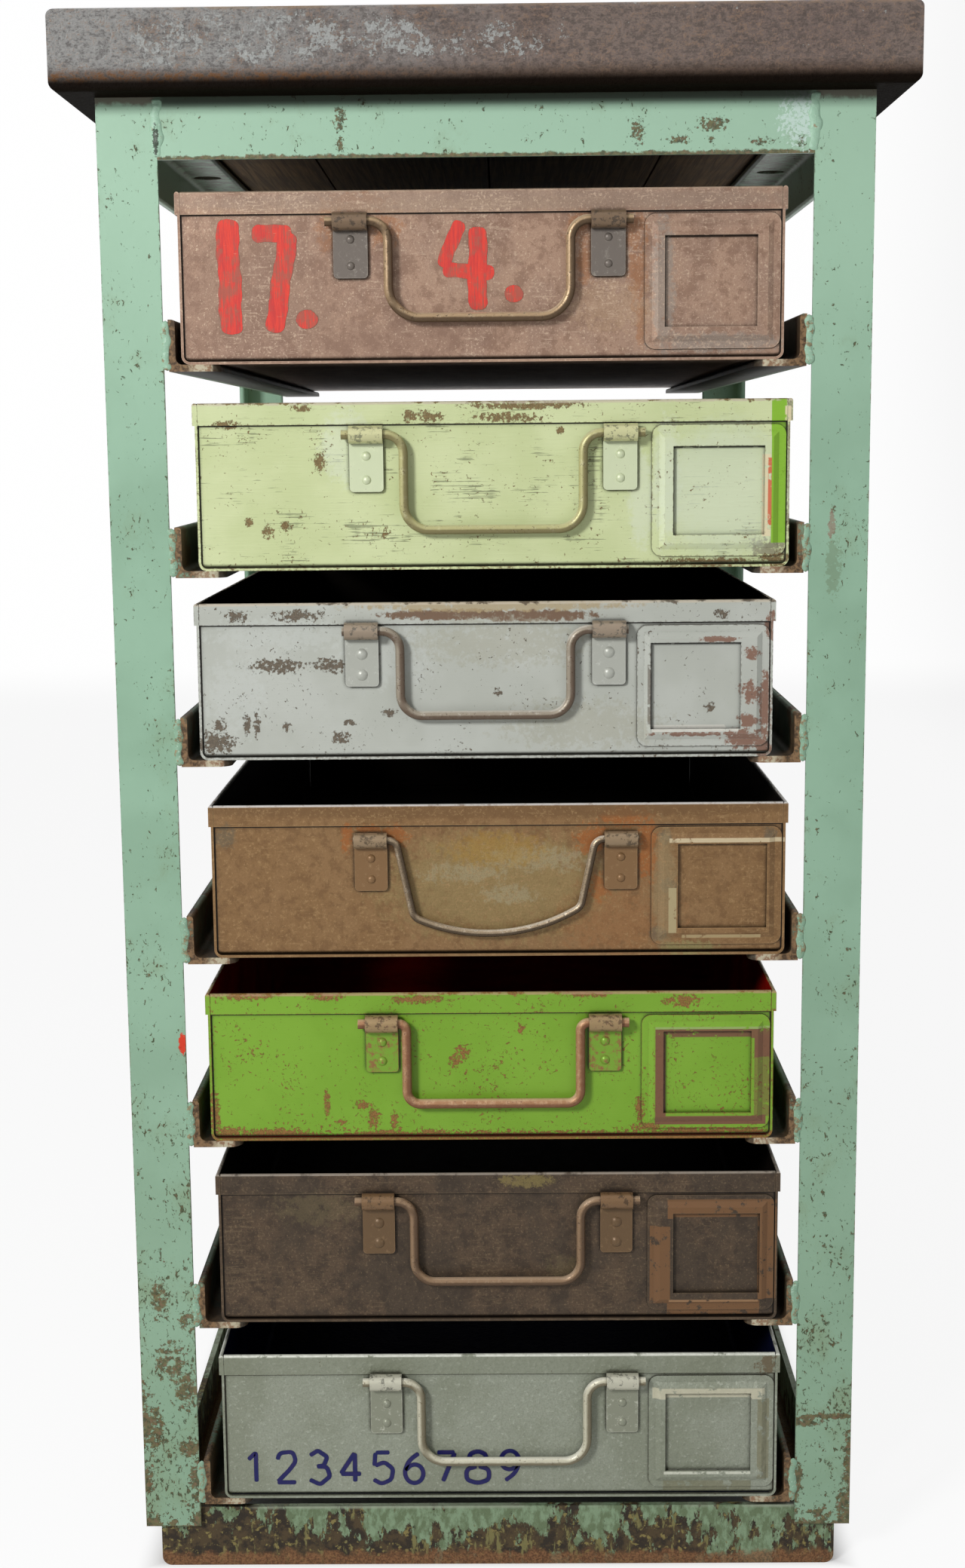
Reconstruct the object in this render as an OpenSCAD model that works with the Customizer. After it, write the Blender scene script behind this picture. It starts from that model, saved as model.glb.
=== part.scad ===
// Small metal drawer cabinet.
// A welded angle-iron frame stands on a low base frame and carries a sheet-covered board top.
// Seven folded sheet drawers slide out to the front on pairs of angle runners. Each drawer has
// a hemmed rim, a stamped label holder and a wire bail that swings in two rolled lugs.
// Millimetres. +Z is up, the front faces -Y, and the origin is the middle of the footprint.

/* [Frame] */
// Width over the corner posts
frame_w = 450; // [420:5:520]
// Depth over the corner posts
frame_d = 690; // [600:10:780]
// Leg of the angle used for posts and top rails
post_leg = 35; // [30:1:40]
// Wall of the angle used for posts and top rails
post_wall = 4; // [3:0.5:5]
// Height of the posts' lower ends above the floor
post_lift = 29; // [22:1:34]
// Clear height between the top drawer and the front rail
head_room = 18; // [8:0.5:60]

/* [Base frame] */
// Height and foot width of the base angle
base_leg = 40; // [36:1:44]
// Wall of the base angle
base_wall = 4; // [3:0.5:6]
// Gap between the base and the side leg of a post
base_gap = 5; // [1:0.5:10]
// Radius of the base's lower outer corners
base_corner = 6; // [3:0.5:10]

/* [Runners] */
// Leg of the runner angle
runner_leg = 30; // [25:1:35]
// Wall of the runner angle
runner_wall = 4; // [3:0.5:5]
// Height of the lowest runner's shelf above the floor
shelf_lift = 49.5; // [46:0.5:60]
// Height from one drawer's shelf to the next
pitch = 119; // [112:1:140]
// Gap between a post's edge and the runner beside it, filled by weld
weld_gap = 3; // [2:0.5:5]
// Width of a weld bead over its joint
weld_w = 8; // [6:0.5:10]
// How far a weld bead stands out of the joint
weld_rise = 1; // [0.5:0.1:2]
// Radius of the cut at a runner's front toe
toe_cut_r = 8; // [4:1:12]

/* [Worktop] */
// Thickness of the top
top_h = 45.5; // [36:0.5:60]
// How far the top reaches past the posts at each side
top_side = 21.5; // [10:0.5:22]
// How far the top reaches past the posts at front and back
top_front = 25; // [10:1:27]
// Thickness of the sheet skin
skin_t = 2; // [1:0.5:3]
// Radius of the skin's long folds
skin_fold = 5; // [4:0.5:10]
// Width of the flange folded under the boards
skin_flange = 30; // [28:1:45]
// Number of boards under the skin
board_count = 4; // [2:1:6]
// Gap between two boards
board_gap = 1.5; // [0.5:0.5:4]
// Diameter of the plain hole in the middle of a side rail
rail_hole = 20; // [8:1:22]
// Distance of a side rail's holes from its outer face
rail_gauge = 18; // [16:1:20]
// Distance of a worktop screw from the middle of its rail
screw_y = 230; // [120:5:240]
// Diameter of a worktop screw
screw_d = 8; // [5:1:8]
// Length of a worktop screw above the rail
screw_reach = 28; // [15:1:32]

/* [Drawers] */
// Usual height of a drawer
drawer_h = 95; // [90:1:105]
// Space behind a closed drawer, up to the back of the frame
drawer_back = 40; // [10:5:120]
// Usual clearance between a drawer's rim and a runner's upright leg
drawer_side = 6.5; // [5:0.5:12]
// Thickness of the drawer sheet
sheet = 1.5; // [1:0.1:2]
// Height of the folded rim
rim_h = 13; // [10:0.5:14]
// Radius of the drawer's lower side folds
fold_r = 5; // [3:0.5:8]
// Depth of the flange at the foot of a drawer's end panels
foot_flange = 12; // [8:1:20]
// Play between an end panel and the sides
panel_play = 0.2; // [0.1:0.1:0.5]

/* [Label holder] */
// Width of the label holder's plate
label_w = 79; // [70:1:82]
// Distance of the plate from the side of the drawer
label_side = 0.5; // [0.5:0.5:6]
// Distance of the plate from the rim above and from the foot fold below
label_rim = 2; // [0.5:0.5:4]
// Width of the label holder's window
window_w = 54; // [40:1:56]
// Thickness of the label holder's sheet
label_t = 1; // [0.8:0.1:1.5]
// Height of the holder's raised frame over the drawer's face
label_rise = 3; // [2.5:0.1:5]
// Width of the sloping side of the raised frame
label_bevel = 5; // [2:0.5:5]
// Width of the flat flange round the raised frame
label_flange = 2.5; // [1:0.5:4]
// Radius of the plate's corners
label_corner = 6; // [3:0.5:8]
// Usual distance of the plate from the end of the bail beside it
label_gap = 4.3; // [3:0.1:10]

/* [Lugs and bails] */
// Usual distance between the middles of a drawer's two lugs
lug_span = 150; // [140:1:156]
// Width of a lug
lug_w = 20; // [14:1:22]
// Thickness of the lug sheet
lug_t = 2.4; // [1.5:0.1:2.6]
// Length of a lug's plate below its lower rivet
lug_end = 7; // [5:0.5:9]
// Diameter of a rivet's shank
rivet_d = 3; // [2:0.5:4]
// Height of a rivet's head
rivet_rise = 1.6; // [1:0.1:2.2]
// Radial play of the bail in its eyes
eye_play = 0.08; // [0.04:0.01:0.1]
// Usual distance between a bail's two uprights
grip_w = 106; // [96:1:108]
// How far a bail's end usually sticks out of its eye
pin_out = 4.5; // [2:0.5:8]

/* [Hidden] */
$fn = 48;

// The drawers are counted from the top. Each list has one entry per drawer, as all were made by hand.
drawer_count = 7;
// How far each drawer stands to the right of the middle
drawer_shift = [-3, 2.5, -3, 4, -1.5, 2, 2];
// How much taller than usual each drawer is
drawer_more = [3.5, 3.5, -0.5, -0.5, -1, 2, 1.5];
// How much narrower than usual each drawer is
drawer_less = [-3, -1, 5, 1, 1.5, 0.5, -2];
// How far each pair of runners is welded above its even place
shelf_more = [-3, -5, 0, -3.5, -1.5, -1.5, -1.5];
// How far each window stands to the right of the middle of its label holder
window_right = [-1, 0, -4.5, 3.5, 1, 3.5, -2];
// How far each bail hangs to the right of its usual place
bail_right = [-2.6, 0, 2.8, -0.9, 2.5, 0, 2.1];
// Diameter of each bail's wire
bail_wire = [5.5, 5.5, 5.5, 4.5, 6, 5.5, 5.5];
// How far each bail hangs below its eyes
bail_drop = [55, 56, 51, 58, 51, 52.5, 53.5];
// How much wider than usual each bail's grip is
grip_more = [0, 0, -4, 12.5, 1, -2, -1];
// How much less than usual each bail's ends stick out
pin_less = [0, 0, 3, 4, 0, 0, 0];
// Radius of each bail's upper corners
bail_shoulder = [11, 11, 11, 6.5, 5, 11, 11];
// Radius of each bail's lower corners
bail_heel = [18, 15, 13, 8, 8, 13, 15];
// Height from each rim down to the middle of the lugs' eyes
eye_drop = [18, 19, 16.5, 21.5, 18.5, 16.5, 16.5];
// How much further apart than usual each drawer's lugs are
lug_more = [0, 0, -2, 2, -12.5, -1.5, -0.5];
// Distance of each lug's upper rivet below the middle of the eye
rivet_top = [10, 12.5, 14, 11.5, 12.5, 15, 15.5];
// Distance between each lug's two rivets
rivet_pitch = [15, 14, 12.5, 13, 12, 13, 13];
// Diameter of each rivet's head
rivet_head = [5, 5.5, 7, 5.5, 6, 7, 6];
// The bow-shaped bail: which drawer has it, how steeply its sides lean, half the angle of its bow,
// and how far the bow is tipped down to the left
bow_drawer = 4;
bow_lean = 78;
bow_half = 26.5;
bow_tip = 3.5;
// Colours from the top drawer down
drawer_paint = ["#6b4f43", "#c3cf96", "#b4bab6", "#7a5a35", "#5f9c23", "#4a3c33", "#8b9785"];
lug_paint = ["#5a5450", "#c3cf96", "#b4bab6", "#7a5a35", "#5f9c23", "#6f5442", "#8b9785"];
mint = "#9cc4ad";
rust = "#54453d";
wood = "#5d4a37";

// A cut reaches this far past the face it opens
past = 1;
// Play of a shank in its hole
shank_play = 0.05;
// Gap that parts a rivet's or screw's head from what it clamps
head_play = 0.02;
// Gap between a lug's eye and the folded rim that it curves away from
rim_play = 0.12;
// How much wider than its wire a bail's odd joint is
joint_swell = 0.1;

front_y = -frame_d / 2;
post_edge = frame_w / 2 - post_leg;
runner_x = post_edge - weld_gap;
runner_depth = frame_d;
drawer_d = frame_d - drawer_back;
// The end panels stand inside the shell's edges by the thickness of their rim
face_y = front_y + sheet;
foot_bend = 2 * sheet;
label_low = sheet + foot_bend + label_rim;
frame_h = rim_z(1) + head_room + post_leg;
base_w = frame_w - 2 * post_wall - 2 * base_gap;
base_d = frame_d - 2 * post_wall;
top_w = frame_w + 2 * top_side;
top_d = frame_d + 2 * top_front;
washer_t = 1.6;
head_h = 5.3;

// Height of the shelf that drawer n stands on, and of its rim
function shelf_z(n) = shelf_lift + (drawer_count - n) * pitch + shelf_more[n - 1];
function drawer_high(n) = drawer_h + drawer_more[n - 1];
function rim_z(n) = shelf_z(n) + drawer_high(n);

// Width of drawer n over its walls, and of its end panels
function shell_w(n) = 2 * (runner_x - runner_wall - drawer_side - sheet) - drawer_less[n - 1];
function panel_w(n) = shell_w(n) - 2 * sheet - 2 * panel_play;

// Label holder of drawer n, and the bail that takes its place beside it
function label_h(n) = drawer_high(n) - rim_h - label_rim - label_low;
function label_x(n) = panel_w(n) / 2 - label_side - label_w / 2;
function bail_x(n) =
    label_x(n) - label_w / 2 - label_gap - pin_out - lug_w / 2 - lug_span / 2 + bail_right[n - 1];

// Half the distance between the lugs of drawer n, half the length of its bail, and the part of it
// that is straight at each end
function lug_half(n) = (lug_span + lug_more[n - 1]) / 2;
function bail_half(n) = lug_half(n) + lug_w / 2 + pin_out - pin_less[n - 1];
function grip(n) = grip_w + grip_more[n - 1];
function bail_pin(n) = bail_half(n) - grip(n) / 2 - bail_shoulder[n - 1];

// Eye of drawer n's lugs: radius of its bore, of its outside, and its place. It stands low enough
// for its curve to clear the folded rim.
function eye_r(n) = bail_wire[n - 1] / 2 + eye_play;
function lug_r(n) = eye_r(n) + lug_t;
function eye_y(n) = face_y - lug_r(n);
function eye_z(n) =
    rim_z(n) - max(eye_drop[n - 1], rim_h + sqrt(pow(lug_r(n), 2) - pow(lug_r(n) - sheet - rim_play, 2)));

// Places its children at the left or right, front or back, by mirroring the front left one
module corner(right, back) {
    mirror([right ? 1 : 0, 0, 0]) mirror([0, back ? 1 : 0, 0]) children();
}

// Outside of a rounded corner, for cutting: the corner points to +X +Y
module corner_cut(r) {
    difference() {
        square(r + past);
        circle(r);
    }
}

// Rectangle with round corners, its lower left corner at the origin
module round_rect(w, h, r) {
    translate([r, 0]) square([w - 2 * r, h]);
    translate([0, r]) square([w, h - 2 * r]);
    for (x = [r, w - r], y = [r, h - r])
        translate([x, y]) circle(r);
}

// Rolled angle: its heel at the origin, legs along +X and +Y, with a root fillet and round toes
module angle_section(leg, wall) {
    root = wall;
    toe = wall / 2;
    difference() {
        union() {
            square([leg, wall]);
            square([wall, leg]);
            translate([wall, wall]) difference() {
                square(root);
                translate([root, root]) circle(root);
            }
        }
        translate([leg - toe, wall - toe]) corner_cut(toe);
        translate([wall - toe, leg - toe]) corner_cut(toe);
    }
}

// Corner post of the frame, cut square at both ends
module post(right, back) {
    color(mint) corner(right, back)
        translate([-frame_w / 2, front_y, post_lift])
            linear_extrude(frame_h - post_lift) angle_section(post_leg, post_wall);
}

// Top rail across the front or the back, between the posts' edges
module cross_rail(back) {
    color(mint) corner(false, back)
        translate([-post_edge, front_y, frame_h]) rotate([90, 0, 90])
            linear_extrude(2 * post_edge) mirror([0, 1]) angle_section(post_leg, post_wall);
}

// Top rail along one side, drilled for the worktop's screws
module side_rail(right) {
    length = frame_d - 2 * post_leg;
    color(mint) corner(right, false) difference() {
        translate([-frame_w / 2, length / 2, frame_h]) rotate([90, 0, 0])
            linear_extrude(length) mirror([0, 1]) angle_section(post_leg, post_wall);
        translate([-frame_w / 2 + rail_gauge, 0, frame_h - post_wall - past])
            cylinder(d = rail_hole, h = post_wall + 2 * past);
        for (y = [-screw_y, screw_y])
            translate([-frame_w / 2 + rail_gauge, y, frame_h - post_wall - past])
                cylinder(r = screw_d / 2 + shank_play, h = post_wall + 2 * past);
    }
}

// Base angle seen from its end: upright leg on the outside, foot turned inwards
module base_section() {
    square([base_wall, base_leg]);
    square([base_leg, base_wall]);
}

// Outline of the base from the front, with its two lower corners rounded
module base_outline(w) {
    intersection() {
        round_rect(w, 2 * base_leg, base_corner);
        square([w, base_leg]);
    }
}

// Front and back bars of the base, over its whole width
module base_ends() {
    color(mint) for (back = [false, true]) corner(false, back) intersection() {
        translate([-base_w / 2, -base_d / 2, 0]) rotate([90, 0, 90])
            linear_extrude(base_w) base_section();
        translate([-base_w / 2, 0, 0]) rotate([90, 0, 0])
            linear_extrude(base_d) base_outline(base_w);
    }
}

// Side bars of the base, butted between the end bars' feet
module base_sides() {
    length = base_d - 2 * base_leg;
    color(mint) for (right = [false, true]) corner(right, false)
        translate([-base_w / 2, length / 2, 0]) rotate([90, 0, 0])
            linear_extrude(length) base_section();
    color(mint) for (right = [false, true], back = [false, true]) corner(right, back)
        translate([-base_w / 2, -base_d / 2 + base_wall, base_wall])
            cube([base_wall, base_leg - base_wall, base_leg - base_wall]);
}

// One runner angle at the left: upright leg outside, toe inwards, the toe's front corner cut round
module runner(n) {
    toe_x = -runner_x + runner_leg;
    difference() {
        translate([-runner_x, -front_y, shelf_z(n) - runner_wall]) rotate([90, 0, 0])
            linear_extrude(runner_depth) angle_section(runner_leg, runner_wall);
        translate([toe_x - toe_cut_r, front_y + toe_cut_r, shelf_z(n) - runner_wall - past])
            linear_extrude(runner_wall + 2 * past) mirror([0, 1]) corner_cut(toe_cut_r);
    }
}

module runners(right) {
    color(mint) for (n = [1:drawer_count]) corner(right, false) runner(n);
}

// Cap of a weld bead on a face towards -Y, standing along +Z from the origin
module bead_cap(h) {
    bow = (weld_w * weld_w / 4 + weld_rise * weld_rise) / (2 * weld_rise);
    intersection() {
        translate([0, bow - weld_rise, 0]) cylinder(r = bow, h = h);
        translate([-weld_w / 2, -2 * weld_rise, 0]) cube([weld_w, 2 * weld_rise, h]);
    }
}

// Weld between a post's edge and a runner: a cap on the front and a root that fills the gap
module runner_weld(n) {
    translate([-post_edge + weld_gap / 2, front_y, shelf_z(n) - runner_wall]) {
        bead_cap(runner_leg);
        translate([-weld_gap / 2, 0, 0]) cube([weld_gap, post_wall / 2, runner_leg]);
    }
}

// All the weld beads: runners to posts, and top rails to posts
module weld_beads() {
    color(mint) for (right = [false, true], back = [false, true]) corner(right, back) {
        for (n = [1:drawer_count]) runner_weld(n);
        translate([-post_edge, front_y, frame_h - post_leg]) bead_cap(post_leg);
        translate([-frame_w / 2, front_y + post_leg, frame_h - post_leg])
            rotate([0, 0, -90]) bead_cap(post_leg);
    }
}

// Box with long folds of radius r: the crossing of a lengthwise and a sideways bar
module folded_box(w, d, h, r) {
    intersection() {
        translate([-w / 2, d / 2, 0]) rotate([90, 0, 0]) linear_extrude(d) round_rect(w, h, r);
        translate([-w / 2, -d / 2, 0]) rotate([90, 0, 90]) linear_extrude(w) round_rect(d, h, r);
    }
}

// Sheet skin folded over the boards, with a flange turned under them all round
module worktop_skin() {
    color(rust) translate([0, 0, frame_h]) difference() {
        folded_box(top_w, top_d, top_h, skin_fold);
        translate([0, 0, skin_t])
            folded_box(top_w - 2 * skin_t, top_d - 2 * skin_t, top_h - 2 * skin_t, skin_fold - skin_t);
        translate([skin_flange - top_w / 2, skin_flange - top_d / 2, -past])
            cube([top_w - 2 * skin_flange, top_d - 2 * skin_flange, skin_t + 2 * past]);
    }
}

// Boards side by side inside the skin, their edges rounded to clear its folds, bored for the screws
module worktop_boards() {
    inner_w = top_w - 2 * skin_t;
    each_w = (inner_w - (board_count - 1) * board_gap) / board_count;
    color(wood) difference() {
        intersection() {
            translate([0, 0, frame_h + skin_t])
                folded_box(inner_w, top_d - 2 * skin_t, top_h - 2 * skin_t, skin_fold);
            for (k = [0:board_count - 1])
                translate([-inner_w / 2 + k * (each_w + board_gap), -top_d / 2, frame_h])
                    cube([each_w, top_d, top_h]);
        }
        for (x = [-1, 1], y = [-1, 1])
            translate([x * (frame_w / 2 - rail_gauge), y * screw_y, frame_h])
                cylinder(r = screw_d / 2 + shank_play, h = screw_reach + past);
    }
}

// Four hexagon screws with washers, driven up through the side rails into the boards
module worktop_screws() {
    color("#6b675f") for (x = [-1, 1], y = [-1, 1])
        translate([x * (frame_w / 2 - rail_gauge), y * screw_y, frame_h - post_wall - washer_t]) {
            difference() {
                cylinder(d = 2.2 * screw_d, h = washer_t);
                translate([0, 0, -past]) cylinder(r = screw_d / 2 + shank_play, h = washer_t + 2 * past);
            }
            translate([0, 0, -head_play])
                cylinder(d = screw_d, h = head_play + washer_t + post_wall + screw_reach);
            translate([0, 0, -head_play - head_h]) cylinder(d = 1.85 * screw_d, h = head_h, $fn = 6);
        }
}

// Moves its children to drawer n: the middle of its underside, at the front of the shell
module at_drawer(n) {
    translate([drawer_shift[n - 1], front_y, shelf_z(n)]) children();
}

// Sheet wall of height h with a rim folded outwards: the wall stands on u from 0 to its thickness
module rimmed_wall(h, foot) {
    translate([0, foot]) square([sheet, h - sheet - foot]);
    translate([-sheet, h - rim_h]) square([sheet, rim_h - sheet]);
    translate([0, h - sheet]) circle(sheet);
}

// Quarter bend from the foot of a wall into a floor, with its outside corner at the origin
module floor_bend(r) {
    intersection() {
        square(r);
        translate([r, r]) difference() {
            circle(r);
            circle(r - sheet);
        }
    }
}

// Both sides and the floor of a drawer, folded from one sheet
module drawer_shell(n) {
    color(drawer_paint[n - 1]) at_drawer(n) translate([0, drawer_d, 0]) rotate([90, 0, 0])
        linear_extrude(drawer_d) {
            for (side = [0, 1]) mirror([side, 0]) translate([-shell_w(n) / 2, 0]) {
                rimmed_wall(drawer_high(n), fold_r);
                floor_bend(fold_r);
            }
            translate([fold_r - shell_w(n) / 2, 0]) square([shell_w(n) - 2 * fold_r, sheet]);
        }
}

// End panel with a rim above and a flange turned inwards at its foot, on the floor of the shell.
// Its lower corners are rounded to clear the folds of the shell.
module end_panel(w, h) {
    intersection() {
        translate([-w / 2, sheet, 0]) rotate([90, 0, 90]) linear_extrude(w) {
            rimmed_wall(h, sheet + foot_bend);
            translate([0, sheet]) floor_bend(foot_bend);
            translate([foot_bend, sheet]) square([foot_flange - foot_bend, sheet]);
        }
        translate([-w / 2, sheet + foot_flange, sheet]) rotate([90, 0, 0])
            linear_extrude(2 * sheet + foot_flange) round_rect(w, 2 * h, fold_r - sheet);
    }
}

// Places its children at each rivet of drawer n, on the drawer's face
module at_rivets(n) {
    for (x = [-1, 1], k = [0, 1])
        translate([drawer_shift[n - 1] + bail_x(n) + x * lug_half(n), face_y,
            eye_z(n) - rivet_top[n - 1] - k * rivet_pitch[n - 1]])
            rotate([90, 0, 0]) children();
}

module drawer_front(n) {
    color(drawer_paint[n - 1]) difference() {
        at_drawer(n) end_panel(panel_w(n), drawer_high(n));
        at_rivets(n) translate([0, 0, -sheet - past])
            cylinder(r = rivet_d / 2 + shank_play, h = sheet + 2 * past);
    }
}

module drawer_back(n) {
    color(drawer_paint[n - 1]) at_drawer(n) translate([0, drawer_d, 0]) mirror([0, 1, 0])
        end_panel(panel_w(n), drawer_high(n));
}

// Trapezoid from a base at y = 0 to a top that is narrower by the bevel at each end
module bevel_bar(w, rise) {
    polygon([[-w / 2, 0], [w / 2, 0], [w / 2 - label_bevel, rise], [label_bevel - w / 2, rise]]);
}

// Raised panel with four sloping sides, on its back at z = 0
module raised_panel(w, h, rise) {
    intersection() {
        translate([0, h / 2, 0]) rotate([90, 0, 0]) linear_extrude(h) bevel_bar(w, rise);
        translate([-w / 2, 0, 0]) rotate([90, 0, 90]) linear_extrude(w) bevel_bar(h, rise);
    }
}

// Stamped label holder: a flange with round corners and a raised frame round the window
module drawer_label(n) {
    raised_w = label_w - 2 * label_flange;
    raised_h = label_h(n) - 2 * label_flange;
    window_h = window_w - 2;
    color(drawer_paint[n - 1])
        translate([drawer_shift[n - 1] + label_x(n), face_y, shelf_z(n) + label_low + label_h(n) / 2])
            rotate([90, 0, 0]) difference() {
                union() {
                    linear_extrude(label_t) translate([-label_w / 2, -label_h(n) / 2])
                        round_rect(label_w, label_h(n), label_corner);
                    raised_panel(raised_w, raised_h, label_rise);
                }
                translate([0, 0, -label_t])
                    raised_panel(raised_w - label_t, raised_h - label_t, label_rise);
                translate([window_right[n - 1] - window_w / 2, -window_h / 2, -past])
                    cube([window_w, window_h, label_rise + 2 * past]);
            }
}

// Lug at the origin of its eye: a plate whose upper end is rolled round the bail's wire
module lug(n) {
    long = rivet_top[n - 1] + rivet_pitch[n - 1] + lug_end;
    corner_r = lug_t;
    translate([-lug_w / 2, 0, 0]) difference() {
        union() {
            rotate([90, 0, 90]) cylinder(r = lug_r(n), h = lug_w);
            translate([0, lug_r(n), -long]) rotate([90, 0, 0]) linear_extrude(lug_t) {
                round_rect(lug_w, long, corner_r);
                translate([0, corner_r]) square([lug_w, long - corner_r]);
            }
        }
        translate([-past, 0, 0]) rotate([90, 0, 90]) cylinder(r = eye_r(n), h = lug_w + 2 * past);
    }
}

// Domed rivet through a lug and the front panel, with its tail set inside; +Z points outwards
module rivet(head) {
    dome = (head * head / 4 + rivet_rise * rivet_rise) / (2 * rivet_rise);
    translate([0, 0, lug_t + head_play]) rotate_extrude() intersection() {
        translate([0, rivet_rise - dome]) circle(dome);
        square([head / 2 + past, rivet_rise]);
    }
    translate([0, 0, -sheet - head_play]) cylinder(d = rivet_d, h = lug_t + sheet + 2 * head_play);
    translate([0, 0, -sheet - head_play - rivet_d / 4]) cylinder(d = 1.5 * rivet_d, h = rivet_d / 4);
}

// The two lugs of a drawer and their four rivets
module drawer_lugs(n) {
    color(lug_paint[n - 1]) difference() {
        for (x = [-1, 1])
            translate([drawer_shift[n - 1] + bail_x(n) + x * lug_half(n), eye_y(n), eye_z(n)]) lug(n);
        at_rivets(n) translate([0, 0, -past]) cylinder(r = rivet_d / 2 + shank_play, h = lug_t + 2 * past);
    }
    color(lug_paint[n - 1]) at_rivets(n) rivet(rivet_head[n - 1]);
}

// Wire along +X that turns in the XZ plane. Each step is [length, 0] or [bend radius, degrees].
// A ball a hair wider than the wire joins two steps that meet at an odd angle.
module wire(d, steps, k = 0, odd = false) {
    if (k < len(steps)) {
        size = steps[k][0];
        turn = steps[k][1];
        if (odd || turn % 90 != 0) sphere(d = d + joint_swell);
        if (turn == 0) {
            rotate([0, 90, 0]) cylinder(d = d, h = size);
            translate([size, 0, 0]) wire(d, steps, k + 1, odd);
        } else {
            up = turn > 0 ? 1 : -1;
            translate([0, 0, up * size]) rotate([90, 0, 0])
                rotate([0, 0, up > 0 ? -90 : 90 + turn])
                    rotate_extrude(angle = abs(turn), $fn = 96) translate([size, 0]) circle(d = d);
            translate([size * sin(abs(turn)), 0, up * size * (1 - cos(turn))])
                rotate([0, -turn, 0]) wire(d, steps, k + 1, turn % 90 != 0);
        }
    }
}

// Steps of a bail with upright sides and a straight grip
function square_bail(pin, w, drop, shoulder, heel) =
    [[pin, 0], [shoulder, -90], [drop - shoulder - heel, 0], [heel, 90], [w - 2 * heel, 0],
        [heel, 90], [drop - shoulder - heel, 0], [shoulder, -90], [pin, 0]];

// Steps of a bail with leaning sides and a tipped bow for a grip. The left side takes the bow to its
// depth, the right side is shorter by what the tip lifts, and the radius fills the width between.
function bow_bail(pin, w, drop, shoulder, heel) =
    let (left = bow_half - bow_tip, right = bow_half + bow_tip,
        tip = (cos(left) - cos(right)) / sin(bow_lean),
        bends = shoulder * (1 - cos(bow_lean)) + heel * (cos(left) - cos(bow_lean)),
        // Width and depth as a sum of a fixed part and a part that grows with the bow's radius
        low = (drop - bends) / sin(bow_lean), less = (1 - cos(left)) / sin(bow_lean),
        wide = w + 2 * shoulder * (1 - sin(bow_lean)) - heel * (2 * sin(bow_lean) - sin(left) - sin(right)),
        r = (wide - (2 * low + heel * tip) * cos(bow_lean))
            / (sin(left) + sin(right) - (2 * less + tip) * cos(bow_lean)),
        side = low - less * r)
    [[pin, 0], [shoulder, -bow_lean], [side, 0], [heel, bow_lean - left], [r, left + right],
        [heel, bow_lean - right], [side - (r - heel) * tip, 0], [shoulder, -bow_lean], [pin, 0]];

// Wire bail of a drawer, hanging from its two eyes
module drawer_bail(n) {
    drop = bail_drop[n - 1];
    shoulder = bail_shoulder[n - 1];
    heel = bail_heel[n - 1];
    color(lug_paint[n - 1])
        translate([drawer_shift[n - 1] + bail_x(n) - bail_half(n), eye_y(n), eye_z(n)])
            wire(bail_wire[n - 1], n == bow_drawer
                ? bow_bail(bail_pin(n), grip(n), drop, shoulder, heel)
                : square_bail(bail_pin(n), grip(n), drop, shoulder, heel));
}

post(false, false);  // post_front_left
post(true, false);  // post_front_right
post(false, true);  // post_rear_left
post(true, true);  // post_rear_right
cross_rail(false);  // rail_front
cross_rail(true);  // rail_rear
side_rail(false);  // rail_left
side_rail(true);  // rail_right
base_ends();
base_sides();
runners(false);  // runners_left
runners(true);  // runners_right
weld_beads();
worktop_skin();
worktop_boards();
worktop_screws();
for (n = [1:drawer_count]) {
    drawer_shell(n);
    drawer_front(n);
    drawer_back(n);
    drawer_label(n);
    drawer_lugs(n);
    drawer_bail(n);
}
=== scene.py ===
import math

import bpy
import numpy as np
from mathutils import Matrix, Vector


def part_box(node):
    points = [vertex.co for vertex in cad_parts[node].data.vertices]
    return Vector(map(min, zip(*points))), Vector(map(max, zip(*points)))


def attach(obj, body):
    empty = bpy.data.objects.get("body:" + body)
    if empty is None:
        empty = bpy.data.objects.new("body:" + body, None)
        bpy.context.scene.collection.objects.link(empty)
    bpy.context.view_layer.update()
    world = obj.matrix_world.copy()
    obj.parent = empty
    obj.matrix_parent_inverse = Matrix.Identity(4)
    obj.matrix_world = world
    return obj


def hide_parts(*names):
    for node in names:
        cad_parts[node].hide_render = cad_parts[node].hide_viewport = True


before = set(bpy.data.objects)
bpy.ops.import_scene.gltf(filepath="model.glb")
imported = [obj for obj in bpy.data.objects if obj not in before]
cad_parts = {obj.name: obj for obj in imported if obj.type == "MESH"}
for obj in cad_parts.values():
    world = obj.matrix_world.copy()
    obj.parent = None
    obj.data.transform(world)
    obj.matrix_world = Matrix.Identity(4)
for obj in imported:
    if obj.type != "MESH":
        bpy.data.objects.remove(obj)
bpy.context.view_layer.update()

# ---- Posts and top rails ---------------------------------------------------------------------
# Four posts and four rails of rolled steel angle, welded into an open frame and painted mint
# green. The paint is chipped to dark primer and rust, and the feet have rusted through it.


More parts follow.
